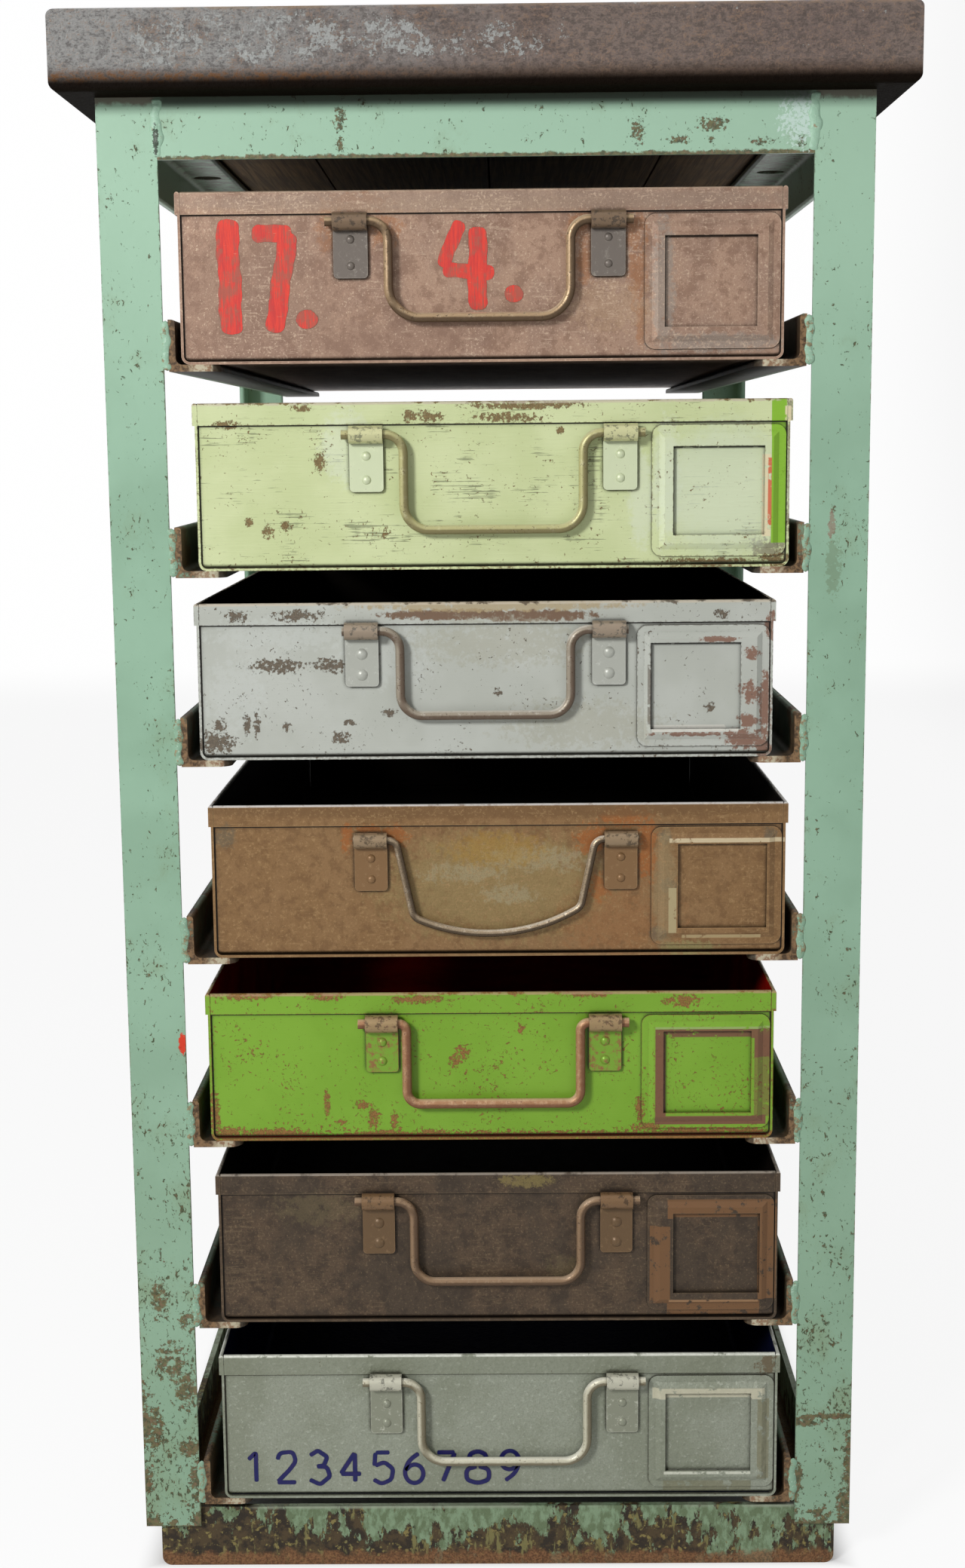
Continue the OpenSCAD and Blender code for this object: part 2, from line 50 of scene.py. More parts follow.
class Graph:
    """A tree of nodes. Each method adds to it and gives the output that the next one reads."""

    def __init__(self, tree):
        self.tree = tree

    def add(self, kind, inputs=None, **settings):
        """One node with its settings, its inputs linked or set."""
        node = self.tree.nodes.new(kind)
        for key, value in settings.items():
            setattr(node, key, value)
        for key, value in (inputs or {}).items():
            self.feed(node.inputs[key], value)
        return node

    def feed(self, socket, value):
        if isinstance(value, bpy.types.NodeSocket):
            self.tree.links.new(value, socket)
        elif value is not None:
            socket.default_value = value

    def calc(self, operation, a, b=None):
        return self.add("ShaderNodeMath", {0: a, 1: b}, operation=operation).outputs["Value"]

    def far(self, value, middle=None):
        """How far the value is from the middle, or from 0, whichever way."""
        return self.calc("ABSOLUTE", value if middle is None else self.calc("SUBTRACT", value, middle))

    def total(self, *parts):
        """The sum of (value, weight) pairs and plain numbers."""
        return self.fold("ADD", [self.times(*part) if isinstance(part, tuple) else part for part in parts])

    def fold(self, operation, values):
        """The values joined one after the other by an operation on two."""
        result = values[0]
        for value in values[1:]:
            result = self.calc(operation, result, value)
        return result

    def most(self, *values):
        return self.fold("MAXIMUM", values)

    def times(self, *values):
        return self.fold("MULTIPLY", values)


class Coat(Graph):
    """A finish worked out from Object coordinates in mm. Its colour is built up by laying one layer
    over another. gloss is its specular level, and the field inner, where there is one, takes it away."""

    def __init__(self, name):
        self.material = bpy.data.materials.new(name)
        self.material.use_nodes = True
        super().__init__(self.material.node_tree)
        self.shader = self.tree.nodes["Principled BSDF"]
        self.colour, self.inner, self.gloss = None, None, 0.25
        place = self.add("ShaderNodeTexCoord")
        scale = self.add("ShaderNodeVectorMath", {"Vector": place.outputs["Object"], "Scale": 1000.0},
                         operation="SCALE")
        self.at = scale.outputs["Vector"]
        self.x, self.y, self.z = self.axes(self.at)
        self.facing_x, self.facing_y, self.facing_z = self.axes(place.outputs["Normal"])

    def axes(self, vector):
        split = self.add("ShaderNodeSeparateXYZ", {"Vector": vector})
        return split.outputs["X"], split.outputs["Y"], split.outputs["Z"]

    def noise(self, size, detail=3.0, rough=0.5, stretch=(1, 1, 1), shift=0.0, warp=0.0):
        """Clouds around 0.5 whose lumps are about size mm wide, times stretch along each axis."""
        place = self.add("ShaderNodeMapping", {"Vector": self.at,
                                               "Location": (shift, shift * 1.7, -shift),
                                               "Scale": tuple(1 / (size * s) for s in stretch)})
        node = self.add("ShaderNodeTexNoise", {"Vector": place.outputs["Vector"], "Scale": 1.0,
                                               "Detail": detail, "Roughness": rough, "Distortion": warp})
        return node.outputs[0]

    def cells(self, size, shift=0.0):
        """Distance to the nearest of points scattered about size mm apart."""
        place = self.add("ShaderNodeMapping", {"Vector": self.at, "Location": (shift,) * 3,
                                               "Scale": (1 / size,) * 3})
        return self.add("ShaderNodeTexVoronoi", {"Vector": place.outputs["Vector"],
                                                 "Scale": 1.0}).outputs["Distance"]

    def rise(self, value, low, high):
        """0 below low, 1 above high and a smooth step between; a falling step where low > high."""
        rising = low < high
        return self.add("ShaderNodeMapRange", {"Value": value, "From Min": min(low, high),
                                               "From Max": max(low, high), "To Min": float(not rising),
                                               "To Max": float(rising)},
                        interpolation_type="SMOOTHSTEP").outputs["Result"]

    def mix(self, share, a, b):
        """Colour a, with b laid over it by share."""
        return self.add("ShaderNodeMix", {0: share, 6: a, 7: b}, data_type="RGBA").outputs[2]

    def over(self, colour, field, top, share=1):
        """A colour, with a screen colour or a colour of the graph laid over it by field x share."""
        top = top if isinstance(top, bpy.types.NodeSocket) else tone(*top)
        return self.mix(field if share == 1 else self.times(field, share), colour, top)

    def lay(self, field, top, share=1):
        """The next layer of the finish itself."""
        self.colour = self.over(self.colour, field, top, share)

    def between(self, field, low, high, one, other):
        """A cloudy colour: one screen colour where the field is low, the other where it is high."""
        return self.mix(self.rise(field, low, high), tone(*one), tone(*other))

    def painted_shade(self, reach, low, high, dark, share):
        """Painted shade: a dark layer where other steel shuts the surface in within reach mm."""
        self.lay(self.rise(self.crevices(reach), low, high), dark, share)

    def patches(self, spots, ragged=12.0, size=2.6, shift=0.0, soft=0.15):
        """1 in each ellipse (x, z, half width, half height) and 0 outside; noise with lumps of size
        mm breaks up the outline, by ragged on the squared distance, over which it fades by soft."""
        far = []
        for x, z, half_w, half_h in spots:
            away = self.add("ShaderNodeVectorMath", {0: self.at, 1: (1 / half_w, 0, 1 / half_h),
                                                     2: (-x / half_w, 0, -z / half_h)},
                            operation="MULTIPLY_ADD").outputs["Vector"]
            far.append(self.add("ShaderNodeVectorMath", {0: away, 1: away},
                                operation="DOT_PRODUCT").outputs["Value"])
        nearest = self.fold("MINIMUM", far)
        return self.rise(self.total(nearest, (self.noise(size, 5, 0.72, shift=shift), ragged), -ragged / 2),
                         1.1 + soft, 1.1 - soft)

    def block(self, left, low, right, high, soft=0.3):
        """1 in the rectangle from left and low to right and high, in x and z, 0 outside."""
        return self.times(*(self.rise(axis, edge - soft * way, edge + soft * way) for axis, edge, way in
                            ((self.x, left, 1), (self.x, right, -1), (self.z, low, 1), (self.z, high, -1))))

    def edges(self, radius):
        """How much the steel turns within radius mm: 0 on a flat, up to 1 on a corner."""
        soft = self.add("ShaderNodeBevel", {"Radius": radius / 1000}, samples=4).outputs["Normal"]
        sharp = self.add("ShaderNodeNewGeometry").outputs["Normal"]
        same = self.add("ShaderNodeVectorMath", {0: soft, 1: sharp}, operation="DOT_PRODUCT")
        return self.rise(same.outputs["Value"], 0.995, 0.8)

    def crevices(self, reach):
        """How much other steel shuts a spot in within reach mm, from 0 to 1."""
        open_sky = self.add("ShaderNodeAmbientOcclusion", {"Distance": reach / 1000}, samples=5)
        return self.calc("SUBTRACT", 1.0, open_sky.outputs["AO"])

    def done(self, rough, metal=0.0, height=None, depth=0.15):
        """Closes the graph: colour, roughness, metal and a relief of height times depth mm."""
        self.feed(self.shader.inputs["Base Color"], self.colour)
        self.feed(self.shader.inputs["Roughness"], rough)
        self.feed(self.shader.inputs["Metallic"], metal)
        gloss = self.gloss
        if self.inner is not None:
            gloss = self.total((self.inner, -gloss), gloss)
        self.feed(self.shader.inputs["Specular IOR Level"], gloss)
        if height is not None:
            bump = self.add("ShaderNodeBump", {"Height": height, "Strength": 1.0, "Distance": depth / 1000})
            self.feed(self.shader.inputs["Normal"], bump.outputs["Normal"])
        return self.material


def tone(red, green, blue):
    """A colour given as it looks on a screen, 0 to 255, turned into light."""
    return tuple((c / 255 / 12.92 if c < 11 else ((c / 255 + 0.055) / 1.055) ** 2.4)
                 for c in (red, green, blue)) + (1.0,)


def span(node):
    """The low and the high corner of a CAD node's box, in mm."""
    return [np.array(corner) * 1000 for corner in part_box(node)]


def cover(material, *nodes):
    """Lays a finish on CAD nodes."""
    for node in nodes:
        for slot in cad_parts[node].material_slots:
            slot.material = material


# The rail runs from post to post and ends level with them.
(_, _, RAIL_FOOT), (POST_EDGE, _, FRAME_TOP) = span("rail_front")


def mint_paint(name, wear, scabs=None, extra=None, chippy=0.0):
    """Mint paint: clouds of two tints, lighter towards the top as painted light and darker towards the
    floor, small dark chips that gather in groups and thicken towards the floor, bare brown edges, post
    tops rubbed bare, a painted shadow under the worktop, painted shade in the corners, and rust at the
    feet and the scabs (a field). extra lays more colour over it."""
    coat = Coat(name)
    clouds = coat.noise(70, 3, 0.55)
    groups = coat.noise(34, 3, 0.6, shift=3.1)
    flecks = coat.noise(2.4, 4, 0.66, stretch=(1, 1, 1.5), warp=0.6)
    grain = coat.noise(0.9, 2, 0.6)
    edge = coat.edges(1.5)
    low = coat.rise(coat.z, 520, 40)
    paint = coat.between(clouds, 0.38, 0.62, (141, 175, 150), (149, 184, 159))
    # Painted light: the paint turns lighter towards the top of the frame; it also darkens towards the floor.
    paint = coat.over(paint, coat.rise(coat.z, 640, 930), (166, 200, 175))
    paint = coat.over(paint, low, (138, 164, 137), 0.5)
    stain = coat.rise(coat.total(groups, (low, 0.10), (flecks, 0.3)), 0.70, 0.98)
    paint = coat.over(paint, stain, (124, 136, 98), 0.4)
    bare = coat.total(flecks, (groups, 0.30), (low, 0.06), (edge, wear), chippy - 0.16)
    chips = coat.rise(bare, 0.656, 0.668)
    under = coat.between(grain, 0.4, 0.6, (58, 70, 48), (98, 84, 58))
    coat.colour = coat.over(paint, coat.rise(bare, 0.634, 0.662), (112, 140, 114), 0.35)
    coat.lay(chips, under, 0.9)
    crust = coat.noise(10, 5, 0.68, shift=7.0)
    foot = coat.rise(coat.total(crust, (coat.rise(coat.z, 52, 24), 0.26), (edge, 0.14), (low, 0.02)),
                     0.68, 0.72)
    scab = coat.between(coat.noise(4, 4, 0.66, shift=1.3), 0.38, 0.62, (66, 62, 40), (112, 100, 64))
    scab = coat.over(scab, coat.rise(coat.noise(2.2, 3, 0.6, shift=5.3), 0.50, 0.62), (118, 90, 66))
    rust = coat.most(foot, scabs(coat)) if scabs else foot
    coat.lay(rust, scab, 0.9)
    if extra:
        extra(coat)
    rubbed = coat.times(coat.rise(coat.far(coat.x), POST_EDGE - 1, POST_EDGE + 2),
                        coat.rise(coat.total(coat.z, (crust, 9.0)), FRAME_TOP - 1, FRAME_TOP + 2))
    coat.lay(rubbed, (112, 104, 92), 0.9)
    # Painted shadow: a dark band along the top of the rails, under the worktop.
    shade = coat.times(coat.rise(coat.far(coat.x), POST_EDGE + 5, POST_EDGE - 5),
                       coat.rise(coat.z, FRAME_TOP - 8, FRAME_TOP - 2.5))
    coat.lay(shade, (30, 28, 20), 0.9)
    # Painted shade where other steel closes the paint in.
    coat.painted_shade(8, 0.4, 0.95, (52, 46, 34), 0.75)
    gone = coat.most(chips, rust)
    height = coat.total((gone, -0.8), (coat.noise(14, 2), 0.6), (coat.times(crust, rust), 3.0),
                        (coat.noise(2.6, 2), 0.12))
    return coat.done(coat.total((gone, 0.33), (clouds, 0.1), 0.30), height=height, depth=0.22)


def on_front(coat, field):
    """The field, kept to the faces that look forward."""
    return coat.times(field, coat.rise(coat.facing_y, -0.5, -0.8))


def left_post_scabs(coat):
    """Rust lumps low on the left post and patches that eat in from its edges."""
    lumps = coat.patches([(-205, 140, 9, 12), (-196, 122, 9, 12), (-212, 182, 5, 11),
                          (-194, 167, 5, 6)], 10.0, 3.4, 2.0)
    broken = coat.times(lumps, coat.rise(coat.noise(4.5, 3, 0.6, shift=9.0), 0.40, 0.50))
    eaten = coat.patches([(-221, 98, 7, 15), (-196, 83, 6, 5), (-226, 118, 5, 8), (-188, 62, 6, 13),
                          (-224, 60, 4, 9)], 12.0, 4.0, 4.0)
    return on_front(coat, coat.most(broken, eaten))


def red_dab(coat):
    """A dab of red paint on the inner edge of the left post."""
    coat.lay(on_front(coat, coat.patches([(-191.8, 349, 2.2, 7.0)], 4.0, 3.0, 8.0)), (214, 62, 38))


def right_post_scabs(coat):
    """A band scraped across the right post, and rust that eats in from its edges."""
    return on_front(coat, coat.patches([(212, 102, 17, 1.8), (196, 99, 8, 3), (225, 70, 4, 22),
                                        (189, 58, 5, 14), (224, 46, 7, 10)], 9.0, 3.2, 3.0))


def red_smudge(coat):
    """A dirty run on the right post, and a reddish smudge above it."""
    coat.lay(on_front(coat, coat.patches([(205, 640, 4, 17)], 9.0, 3.0, 8.0)), (108, 122, 92), 0.45)
    coat.lay(on_front(coat, coat.patches([(203, 664, 2.2, 7)], 8.0, 3.0, 8.0)), (146, 78, 72), 0.5)


def rail_scabs(coat):
    """Rust spots on the front rail and a chipped brown line along its lower edge."""
    spots = coat.patches([(-84, 898, 2.6, 5), (-84, 884, 1.8, 3), (131, 894, 6, 3), (88, 890, 3, 5),
                          (112, 885, 5, 1.6), (160, 884, 5, 1.6)], 18.0, 1.8, 2.0)
    lower = coat.rise(coat.total(coat.z, (coat.noise(5, 4, 0.65, shift=6.0), 6.0)), RAIL_FOOT + 5.6,
                      RAIL_FOOT + 4.4)
    return on_front(coat, coat.most(spots, lower))


def drops_and_glint(coat):
    """Pale drops over the rail's right end, painted bright as a highlight."""
    # Pale drops with a painted highlight on them.
    coat.lay(on_front(coat, coat.patches([(181, 898, 9, 12)], 16.0, 2.0, 4.0)), (206, 226, 218), 0.8)


cover(mint_paint("left_post_paint", 0.12, left_post_scabs, red_dab, 0.006), "post_front_left")
cover(mint_paint("right_post_paint", 0.10, right_post_scabs, red_smudge), "post_front_right")
cover(mint_paint("rail_paint", 0.06, rail_scabs, drops_and_glint), "rail_front")
cover(mint_paint("rear_paint", 0.10), "post_rear_left", "post_rear_right", "rail_rear", "rail_left",
      "rail_right")

# ---- Base ------------------------------------------------------------------------------------
# A low frame of heavier angle that stands on the floor under the posts. Most of its paint is
# gone: dark brown scale with runs of mint above, and orange rust where it stood in the wet.


BASE_TOP = span("base_ends")[1][2]


def base_scale():
    """Mint left in islands on dark scale, drawn out downwards, orange rust along the floor, and
    painted shade in the corners.
    """
    coat = Coat("base_scale")
    runs = coat.noise(12, 6, 0.7, stretch=(1, 1, 2.2))
    broad = coat.noise(46, 2, 0.5, shift=4.0)
    grain = coat.noise(1.3, 3, 0.65)
    right = coat.rise(coat.x, -130, 60)
    mint = coat.rise(coat.total(runs, (broad, 0.5), (right, 0.11), (coat.rise(coat.z, 8, 38), 0.12)),
                     0.88, 0.91)
    scale = coat.between(coat.noise(7, 4, 0.62, shift=9.0), 0.4, 0.6, (44, 37, 29), (76, 63, 44))
    scale = coat.over(scale, coat.rise(coat.noise(4, 3, 0.6, shift=2.0), 0.56, 0.66), (132, 120, 74))
    scale = coat.over(scale, coat.rise(coat.noise(6, 4, 0.66, stretch=(1, 1, 4), shift=5.0), 0.56,
                                       0.64), (122, 116, 74))
    paint = coat.between(coat.noise(5, 4, 0.66, stretch=(1, 1, 2), shift=3.0), 0.4, 0.6, (102, 118, 88),
                         (132, 154, 124))
    coat.colour = coat.mix(mint, scale, paint)
    wet = coat.rise(coat.total(coat.z, (coat.noise(9, 3, 0.6, shift=6.0), 16.0)), 19, 14)
    orange = coat.between(grain, 0.35, 0.65, (92, 62, 40), (140, 100, 68))
    coat.lay(wet, orange, 0.85)
    crest = coat.times(coat.rise(coat.z, BASE_TOP - 2.5, BASE_TOP - 0.5), coat.rise(broad, 0.4, 0.6))
    coat.lay(crest, (158, 166, 146), 0.7)
    # Painted shade in the corners.
    coat.painted_shade(10, 0.4, 1.0, (34, 28, 20), 0.7)
    height = coat.total((mint, 0.6), (grain, 0.8), (runs, 1.4))
    return coat.done(coat.total((mint, -0.2), 0.66), height=height, depth=0.35)


cover(base_scale(), "base_ends", "base_sides")

# ---- Runners ---------------------------------------------------------------------------------
# Seven pairs of smaller angle welded between the posts; the drawers slide on their flat legs.
# The drawers have rubbed them bare, and their front ends are rusty with pale worn toes.


RUNNER_END = span("runners_left")[1][1]


def runner_paint():
    """Mint paint with painted shade, dark brown, inside the frame, rust at the welded ends, pale bare
    toes, and painted shade in the corners.
    """
    coat = Coat("runner_paint")
    clouds = coat.noise(24, 4, 0.6)
    flecks = coat.noise(2.6, 4, 0.66)
    away = coat.far(coat.x)
    ends = coat.rise(coat.far(coat.y), RUNNER_END - 45, RUNNER_END - 4)
    paint = coat.between(clouds, 0.4, 0.6, (120, 140, 116), (142, 168, 144))
    rust = coat.between(flecks, 0.38, 0.62, (70, 54, 38), (134, 106, 76))
    bare = coat.rise(coat.total(clouds, (flecks, 0.5), (ends, 0.22), (coat.edges(1.5), 0.15)), 0.80,
                     0.9)
    coat.colour = coat.mix(bare, paint, rust)
    toe = coat.times(coat.rise(away, 178, 170), coat.rise(coat.y, 9 - RUNNER_END, 2 - RUNNER_END))
    worn = coat.between(flecks, 0.42, 0.58, (150, 118, 92), (196, 188, 162))
    coat.lay(toe, worn, 0.85)
    # Painted shade: the flat legs darken behind their front ends, inside the frame.
    inside = coat.times(coat.rise(away, 184.5, 182.5), coat.rise(coat.y, 0.5 - RUNNER_END, 1.2 - RUNNER_END))
    painted_shade = coat.between(clouds, 0.4, 0.65, (34, 27, 20), (66, 52, 36))
    coat.lay(inside, painted_shade, 0.9)
    # Painted shade in the corners.
    coat.painted_shade(8, 0.4, 0.95, (40, 30, 20), 0.7)
    return coat.done(0.55, height=coat.total((bare, -0.5), (flecks, 0.8)), depth=0.25)


cover(runner_paint(), "runners_left", "runners_right")

# ---- Welds -----------------------------------------------------------------------------------
# Arc-weld beads, one from each post to the end of each runner and two at each corner of the top.
# Each is a row of overlapping scales laid along the joint and painted over with the frame.


def quads(rings, points, closed=True):
    """The four-cornered faces between rings of points, each ring closed round or left open."""
    i, j = np.meshgrid(np.arange(rings - 1), np.arange(points if closed else points - 1), indexing="ij")
    k = (j + 1) % points
    return np.stack([i * points + j, (i + 1) * points + j, (i + 1) * points + k, i * points + k],
                    -1).reshape(-1, 4)


def bead(start, end, out, half, rise, root, seed):
    """Bead as a grid: an ellipse is carried from start to end. Its width, and its height towards
    out, swell with the weld's scales, |sin| of the length every 4 mm, and with two slow sines of
    random phase, and shrink as a quarter circle to a ring 0.1 mm wide at both ends."""
    rng = np.random.default_rng(seed)
    start, end, out = (np.array(v, float) for v in (start, end, out))
    length = np.linalg.norm(end - start)
    along = (end - start) / length
    side = np.cross(along, out)
    t = np.linspace(0, 1, 34)[:, None]
    turn = np.linspace(0, 2 * np.pi, 19)[None, :-1]
    reach = np.minimum(t, 1 - t) * length
    ends = np.sqrt(np.clip(1 - (1 - np.clip(reach / 2.5, 0, 1)) ** 2, 0.0004, 1))
    phase = rng.uniform(0, 2 * np.pi, 3)
    scales = 0.82 + 0.18 * np.abs(np.sin(np.pi * (t * length + 1.2 * np.cos(turn) ** 2) / 4 + phase[0]))
    lumps = 1 + 0.16 * np.sin(9 * t + phase[1]) + 0.1 * np.sin(23 * t + phase[2] + turn)
    wide = half * ends * lumps * (0.9 + 0.1 * scales)
    high = np.where(np.sin(turn) > 0, rise * scales * lumps, root) * ends
    middle = start + t[..., None] * (end - start) + side * (0.5 * np.sin(11 * t[..., None] + phase[1]))
    points = middle + side * (wide * np.cos(turn))[..., None] + out * (high * np.sin(turn))[..., None]
    return points.reshape(-1, 3), quads(*points.shape[:2])


def surface(name, points, faces, material, smooth=True):
    """A mesh in metres as an object of the scene."""
    mesh = bpy.data.meshes.new(name)
    mesh.from_pydata(points.tolist(), [], faces.tolist())
    mesh.polygons.foreach_set("use_smooth", np.full(len(mesh.polygons), smooth))
    mesh.materials.append(material)
    mesh.update()
    piece = bpy.data.objects.new(name, mesh)
    bpy.context.scene.collection.objects.link(piece)
    return piece


def solid(name, parts, body, material, smooth=True):
    """One piece out of (points in mm, four-cornered faces) parts, riding on a body."""
    points, faces, count = [], [], 0
    for spots, corners in parts:
        a, b, c, d = (spots[corners[:, k]] for k in range(4))
        if (a * (np.cross(b, c) + np.cross(c, d))).sum() < 0:  # the volume is negative inside out
            corners = corners[:, ::-1]
        points.append(spots)
        faces.append(corners + count)
        count += len(spots)
    piece = surface(name, np.concatenate(points) / 1000, np.concatenate(faces), material, smooth)
    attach(piece, body)
    return piece


def weld_paint():
    """Paint over the welds: mint like the posts, lighter towards the top as painted light, rubbed to rust
    except at the top corners, with painted shade between the scales and one crack beside the left post."""
    coat = Coat("weld_paint")
    lumps = coat.noise(5, 4, 0.65)
    grain = coat.noise(1.4, 3, 0.6)
    top = coat.rise(coat.z, 872, 880)
    bare = coat.rise(coat.total(lumps, (grain, 0.4), (top, -0.12)), 0.72, 0.80)
    # Painted light: the paint turns lighter towards the top of the frame.
    paint = coat.between(coat.z, 560, 930, (138, 172, 147), (162, 198, 173))
    paint = coat.over(paint, coat.rise(grain, 0.58, 0.68), (186, 212, 192))
    rust = coat.between(grain, 0.4, 0.6, (96, 82, 54), (150, 128, 94))
    coat.colour = coat.over(paint, bare, rust, 0.85)
    crack = coat.patches([(-190.5, 888, 1.5, 8)], 8.0, 2.0, 4.0)
    coat.lay(crack, (40, 44, 32), 0.9)
    # Painted shade between the scales.
    coat.painted_shade(5, 0.35, 0.9, (54, 58, 40), 0.75)
    return coat.done(0.34, height=coat.total((grain, 0.8), (lumps, 1.2)), depth=0.35)


def frame_welds():
    """The beads of all four corners, placed by mirroring those of the front left one. Each runner
    lies as high as the foot of the drawer that it carries."""
    (outer, face, _), (inner, back, _) = np.abs(span("post_front_left"))
    runner_t, runner_leg, gap, sunk = 4.0, 30.0, 3.0, 0.6
    parts = []
    for corner, (sx, sy) in enumerate(((-1, -1), (1, -1), (-1, 1), (1, 1))):
        for row in range(7):
            z = span(f"drawer_{row + 1}_shell")[0][2] - runner_t
            x, y = sx * (inner - gap / 2), sy * (face - 0.5)
            parts.append(bead((x, y, z + 0.5), (x, y, z + runner_leg - 0.5), (0, sy, 0), 2.5, 1.4, 1.2,
                              31 * corner + row))
        for x, y, out, seed in ((sx * inner, sy * (face - sunk), (0, sy, 0), 200),
                                (sx * (outer - sunk), sy * back, (sx, 0, 0), 210)):
            parts.append(bead((x, y, RAIL_FOOT + 1), (x, y, FRAME_TOP - 0.4), out, 3.4, 1.6, 1.0,
                              seed + corner))
    return parts


welds = solid("frame_welds", frame_welds(), "frame", weld_paint())
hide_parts("weld_beads")

# ---- Worktop ---------------------------------------------------------------------------------
# Boards wrapped in a skin of sheet steel, folded down all round and turned under. The steel is
# pitted and rusted brown, waxed dark, with pale scale left of the middle of its front.


def rusty_skin():
    """Rust in three scales of clouds, greyer at the left, coarse pits whose bottoms are dark with rust and
    painted shade, a painted highlight on the bits between them, flakes of white scale in a drift along
    the front, a dark lower fold with a line of orange and a painted shadow along its lowest edge, and
    painted shade on its underside and in its corners."""
    coat = Coat("rusty_skin")
    (_, _, foot), (_, _, top) = span("worktop_skin")
    broad = coat.noise(90, 3, 0.55)
    middle = coat.noise(15, 4, 0.62, shift=3.0)
    pits = coat.noise(2.0, 5, 0.74, shift=5.0, stretch=(1.6, 1, 1))
    grain = coat.noise(0.8, 2, 0.6)
    left = coat.rise(coat.total(coat.x, (middle, 120.0)), 110, -130)
    coat.colour = coat.between(broad, 0.38, 0.62, (142, 123, 114), (152, 134, 124))
    coat.lay(left, (190, 190, 188), 0.9)
    coat.lay(coat.rise(middle, 0.48, 0.68), (94, 78, 70), 0.4)
    # Rust and painted shade darken the pits; a painted highlight lights the bits between them.
    coat.lay(coat.rise(pits, 0.54, 0.38), (74, 64, 58), 0.55)
    bits = coat.rise(coat.total(pits, (grain, 0.5), (middle, 0.3)), 0.95, 1.02)
    coat.lay(bits, (172, 142, 118), 0.6)
    drift = coat.patches([(-182, 936, 24, 13), (-120, 941, 66, 13), (-60, 938, 36, 12),
                          (8, 937, 36, 9)], 1.5, 20.0, 1.0, 0.8)
    on_top = coat.times(coat.rise(coat.z, top - 3.5, top - 1), coat.rise(broad, 0.5, 0.6))
    specks = coat.noise(2.0, 4, 0.7, shift=8.0)
    drifts = coat.noise(13, 4, 0.6, shift=2.0)
    share = coat.most(drift, coat.times(on_top, 0.5))
    pale = coat.rise(coat.total(specks, (drifts, 0.9), (share, 0.24)), 1.20, 1.26)
    coat.lay(pale, (208, 210, 207), 0.9)
    depth = coat.total(coat.z, (middle, 8.0))
    coat.lay(coat.rise(depth, foot + 19, foot + 10), (84, 68, 56), 0.7)
    seam = coat.times(coat.rise(depth, foot + 16, foot + 12), coat.rise(depth, foot + 7, foot + 10),
                      coat.rise(coat.x, 20, -160), coat.rise(pits, 0.42, 0.56))
    coat.lay(seam, (142, 98, 60), 0.8)
    # Painted shadow: near black along the lowest edge of the fold.
    coat.lay(coat.rise(coat.z, foot + 8.5, foot + 3.5), (26, 20, 16), 0.96)
    rim = coat.times(coat.rise(coat.z, top - 3, top - 1), coat.rise(coat.noise(20, 3, 0.6), 0.42, 0.6))
    coat.lay(rim, (188, 152, 112), 0.6)
    # Painted shade: the faces that look down turn dark.
    under = coat.rise(coat.facing_z, -0.5, -0.9)
    coat.lay(under, (30, 24, 18), 0.95)
    # Painted shade in the corners.
    coat.painted_shade(12, 0.4, 1.0, (26, 20, 14), 0.7)
    coat.inner, coat.gloss = coat.most(under, coat.rise(coat.z, foot + 15, foot + 6)), 0.5
    height = coat.total((pits, 4.4), (middle, 2.6), (grain, 0.4), (coat.noise(1.3, 3, 0.7), 1.4),
                        (pale, 0.5))
    shine = coat.total((pits, 0.4), (bits, 0.1), (left, -0.05), 0.16)
    return coat.done(shine, 0.1, height, 0.9)


def old_boards():
    """Softwood gone brown: grain along the boards as clouds drawn out forty to one."""
    coat = Coat("old_boards")
    rings = coat.noise(3.4, 3, 0.6, stretch=(1, 40, 1), warp=0.6)
    stain = coat.noise(60, 3, 0.6)
    coat.colour = coat.between(rings, 0.35, 0.65, (84, 64, 46), (134, 108, 80))
    coat.lay(coat.rise(stain, 0.45, 0.65), (92, 76, 60), 0.5)
    return coat.done(0.75, height=rings, depth=0.4)


def dull_zinc():
    """Zinc gone grey, with rust at the edges of the heads."""
    coat = Coat("dull_zinc")
    spots = coat.noise(3, 4, 0.65)
    coat.colour = coat.between(coat.total(spots, (coat.edges(0.8), 0.2)), 0.5, 0.66, (112, 108, 100),
                               (104, 78, 54))
    return coat.done(0.45, 0.7, spots, 0.08)


cover(rusty_skin(), "worktop_skin")
cover(old_boards(), "worktop_boards")
cover(dull_zinc(), "worktop_screws")

# ---- Drawer sheets ---------------------------------------------------------------------------
# Each drawer is one sheet folded up at both sides with two end panels, hemmed all round the
# rim. No two are painted alike: three have lost their paint and gone brown.


# The faces of the front panels, on which the label holders lie.
FACE = span("drawer_1_label")[1][1]


def drawer_box(n):
    """The middle, foot, rim and half width of drawer n, in mm."""
    low, high = span(f"drawer_{n}_shell")
    return (low[0] + high[0]) / 2, low[2], high[2], (high[0] - low[0]) / 2


def in_front(coat):
    """1 on the front panel and on all that stands out from it."""
    return coat.rise(coat.y, FACE + 0.7, FACE + 0.3)


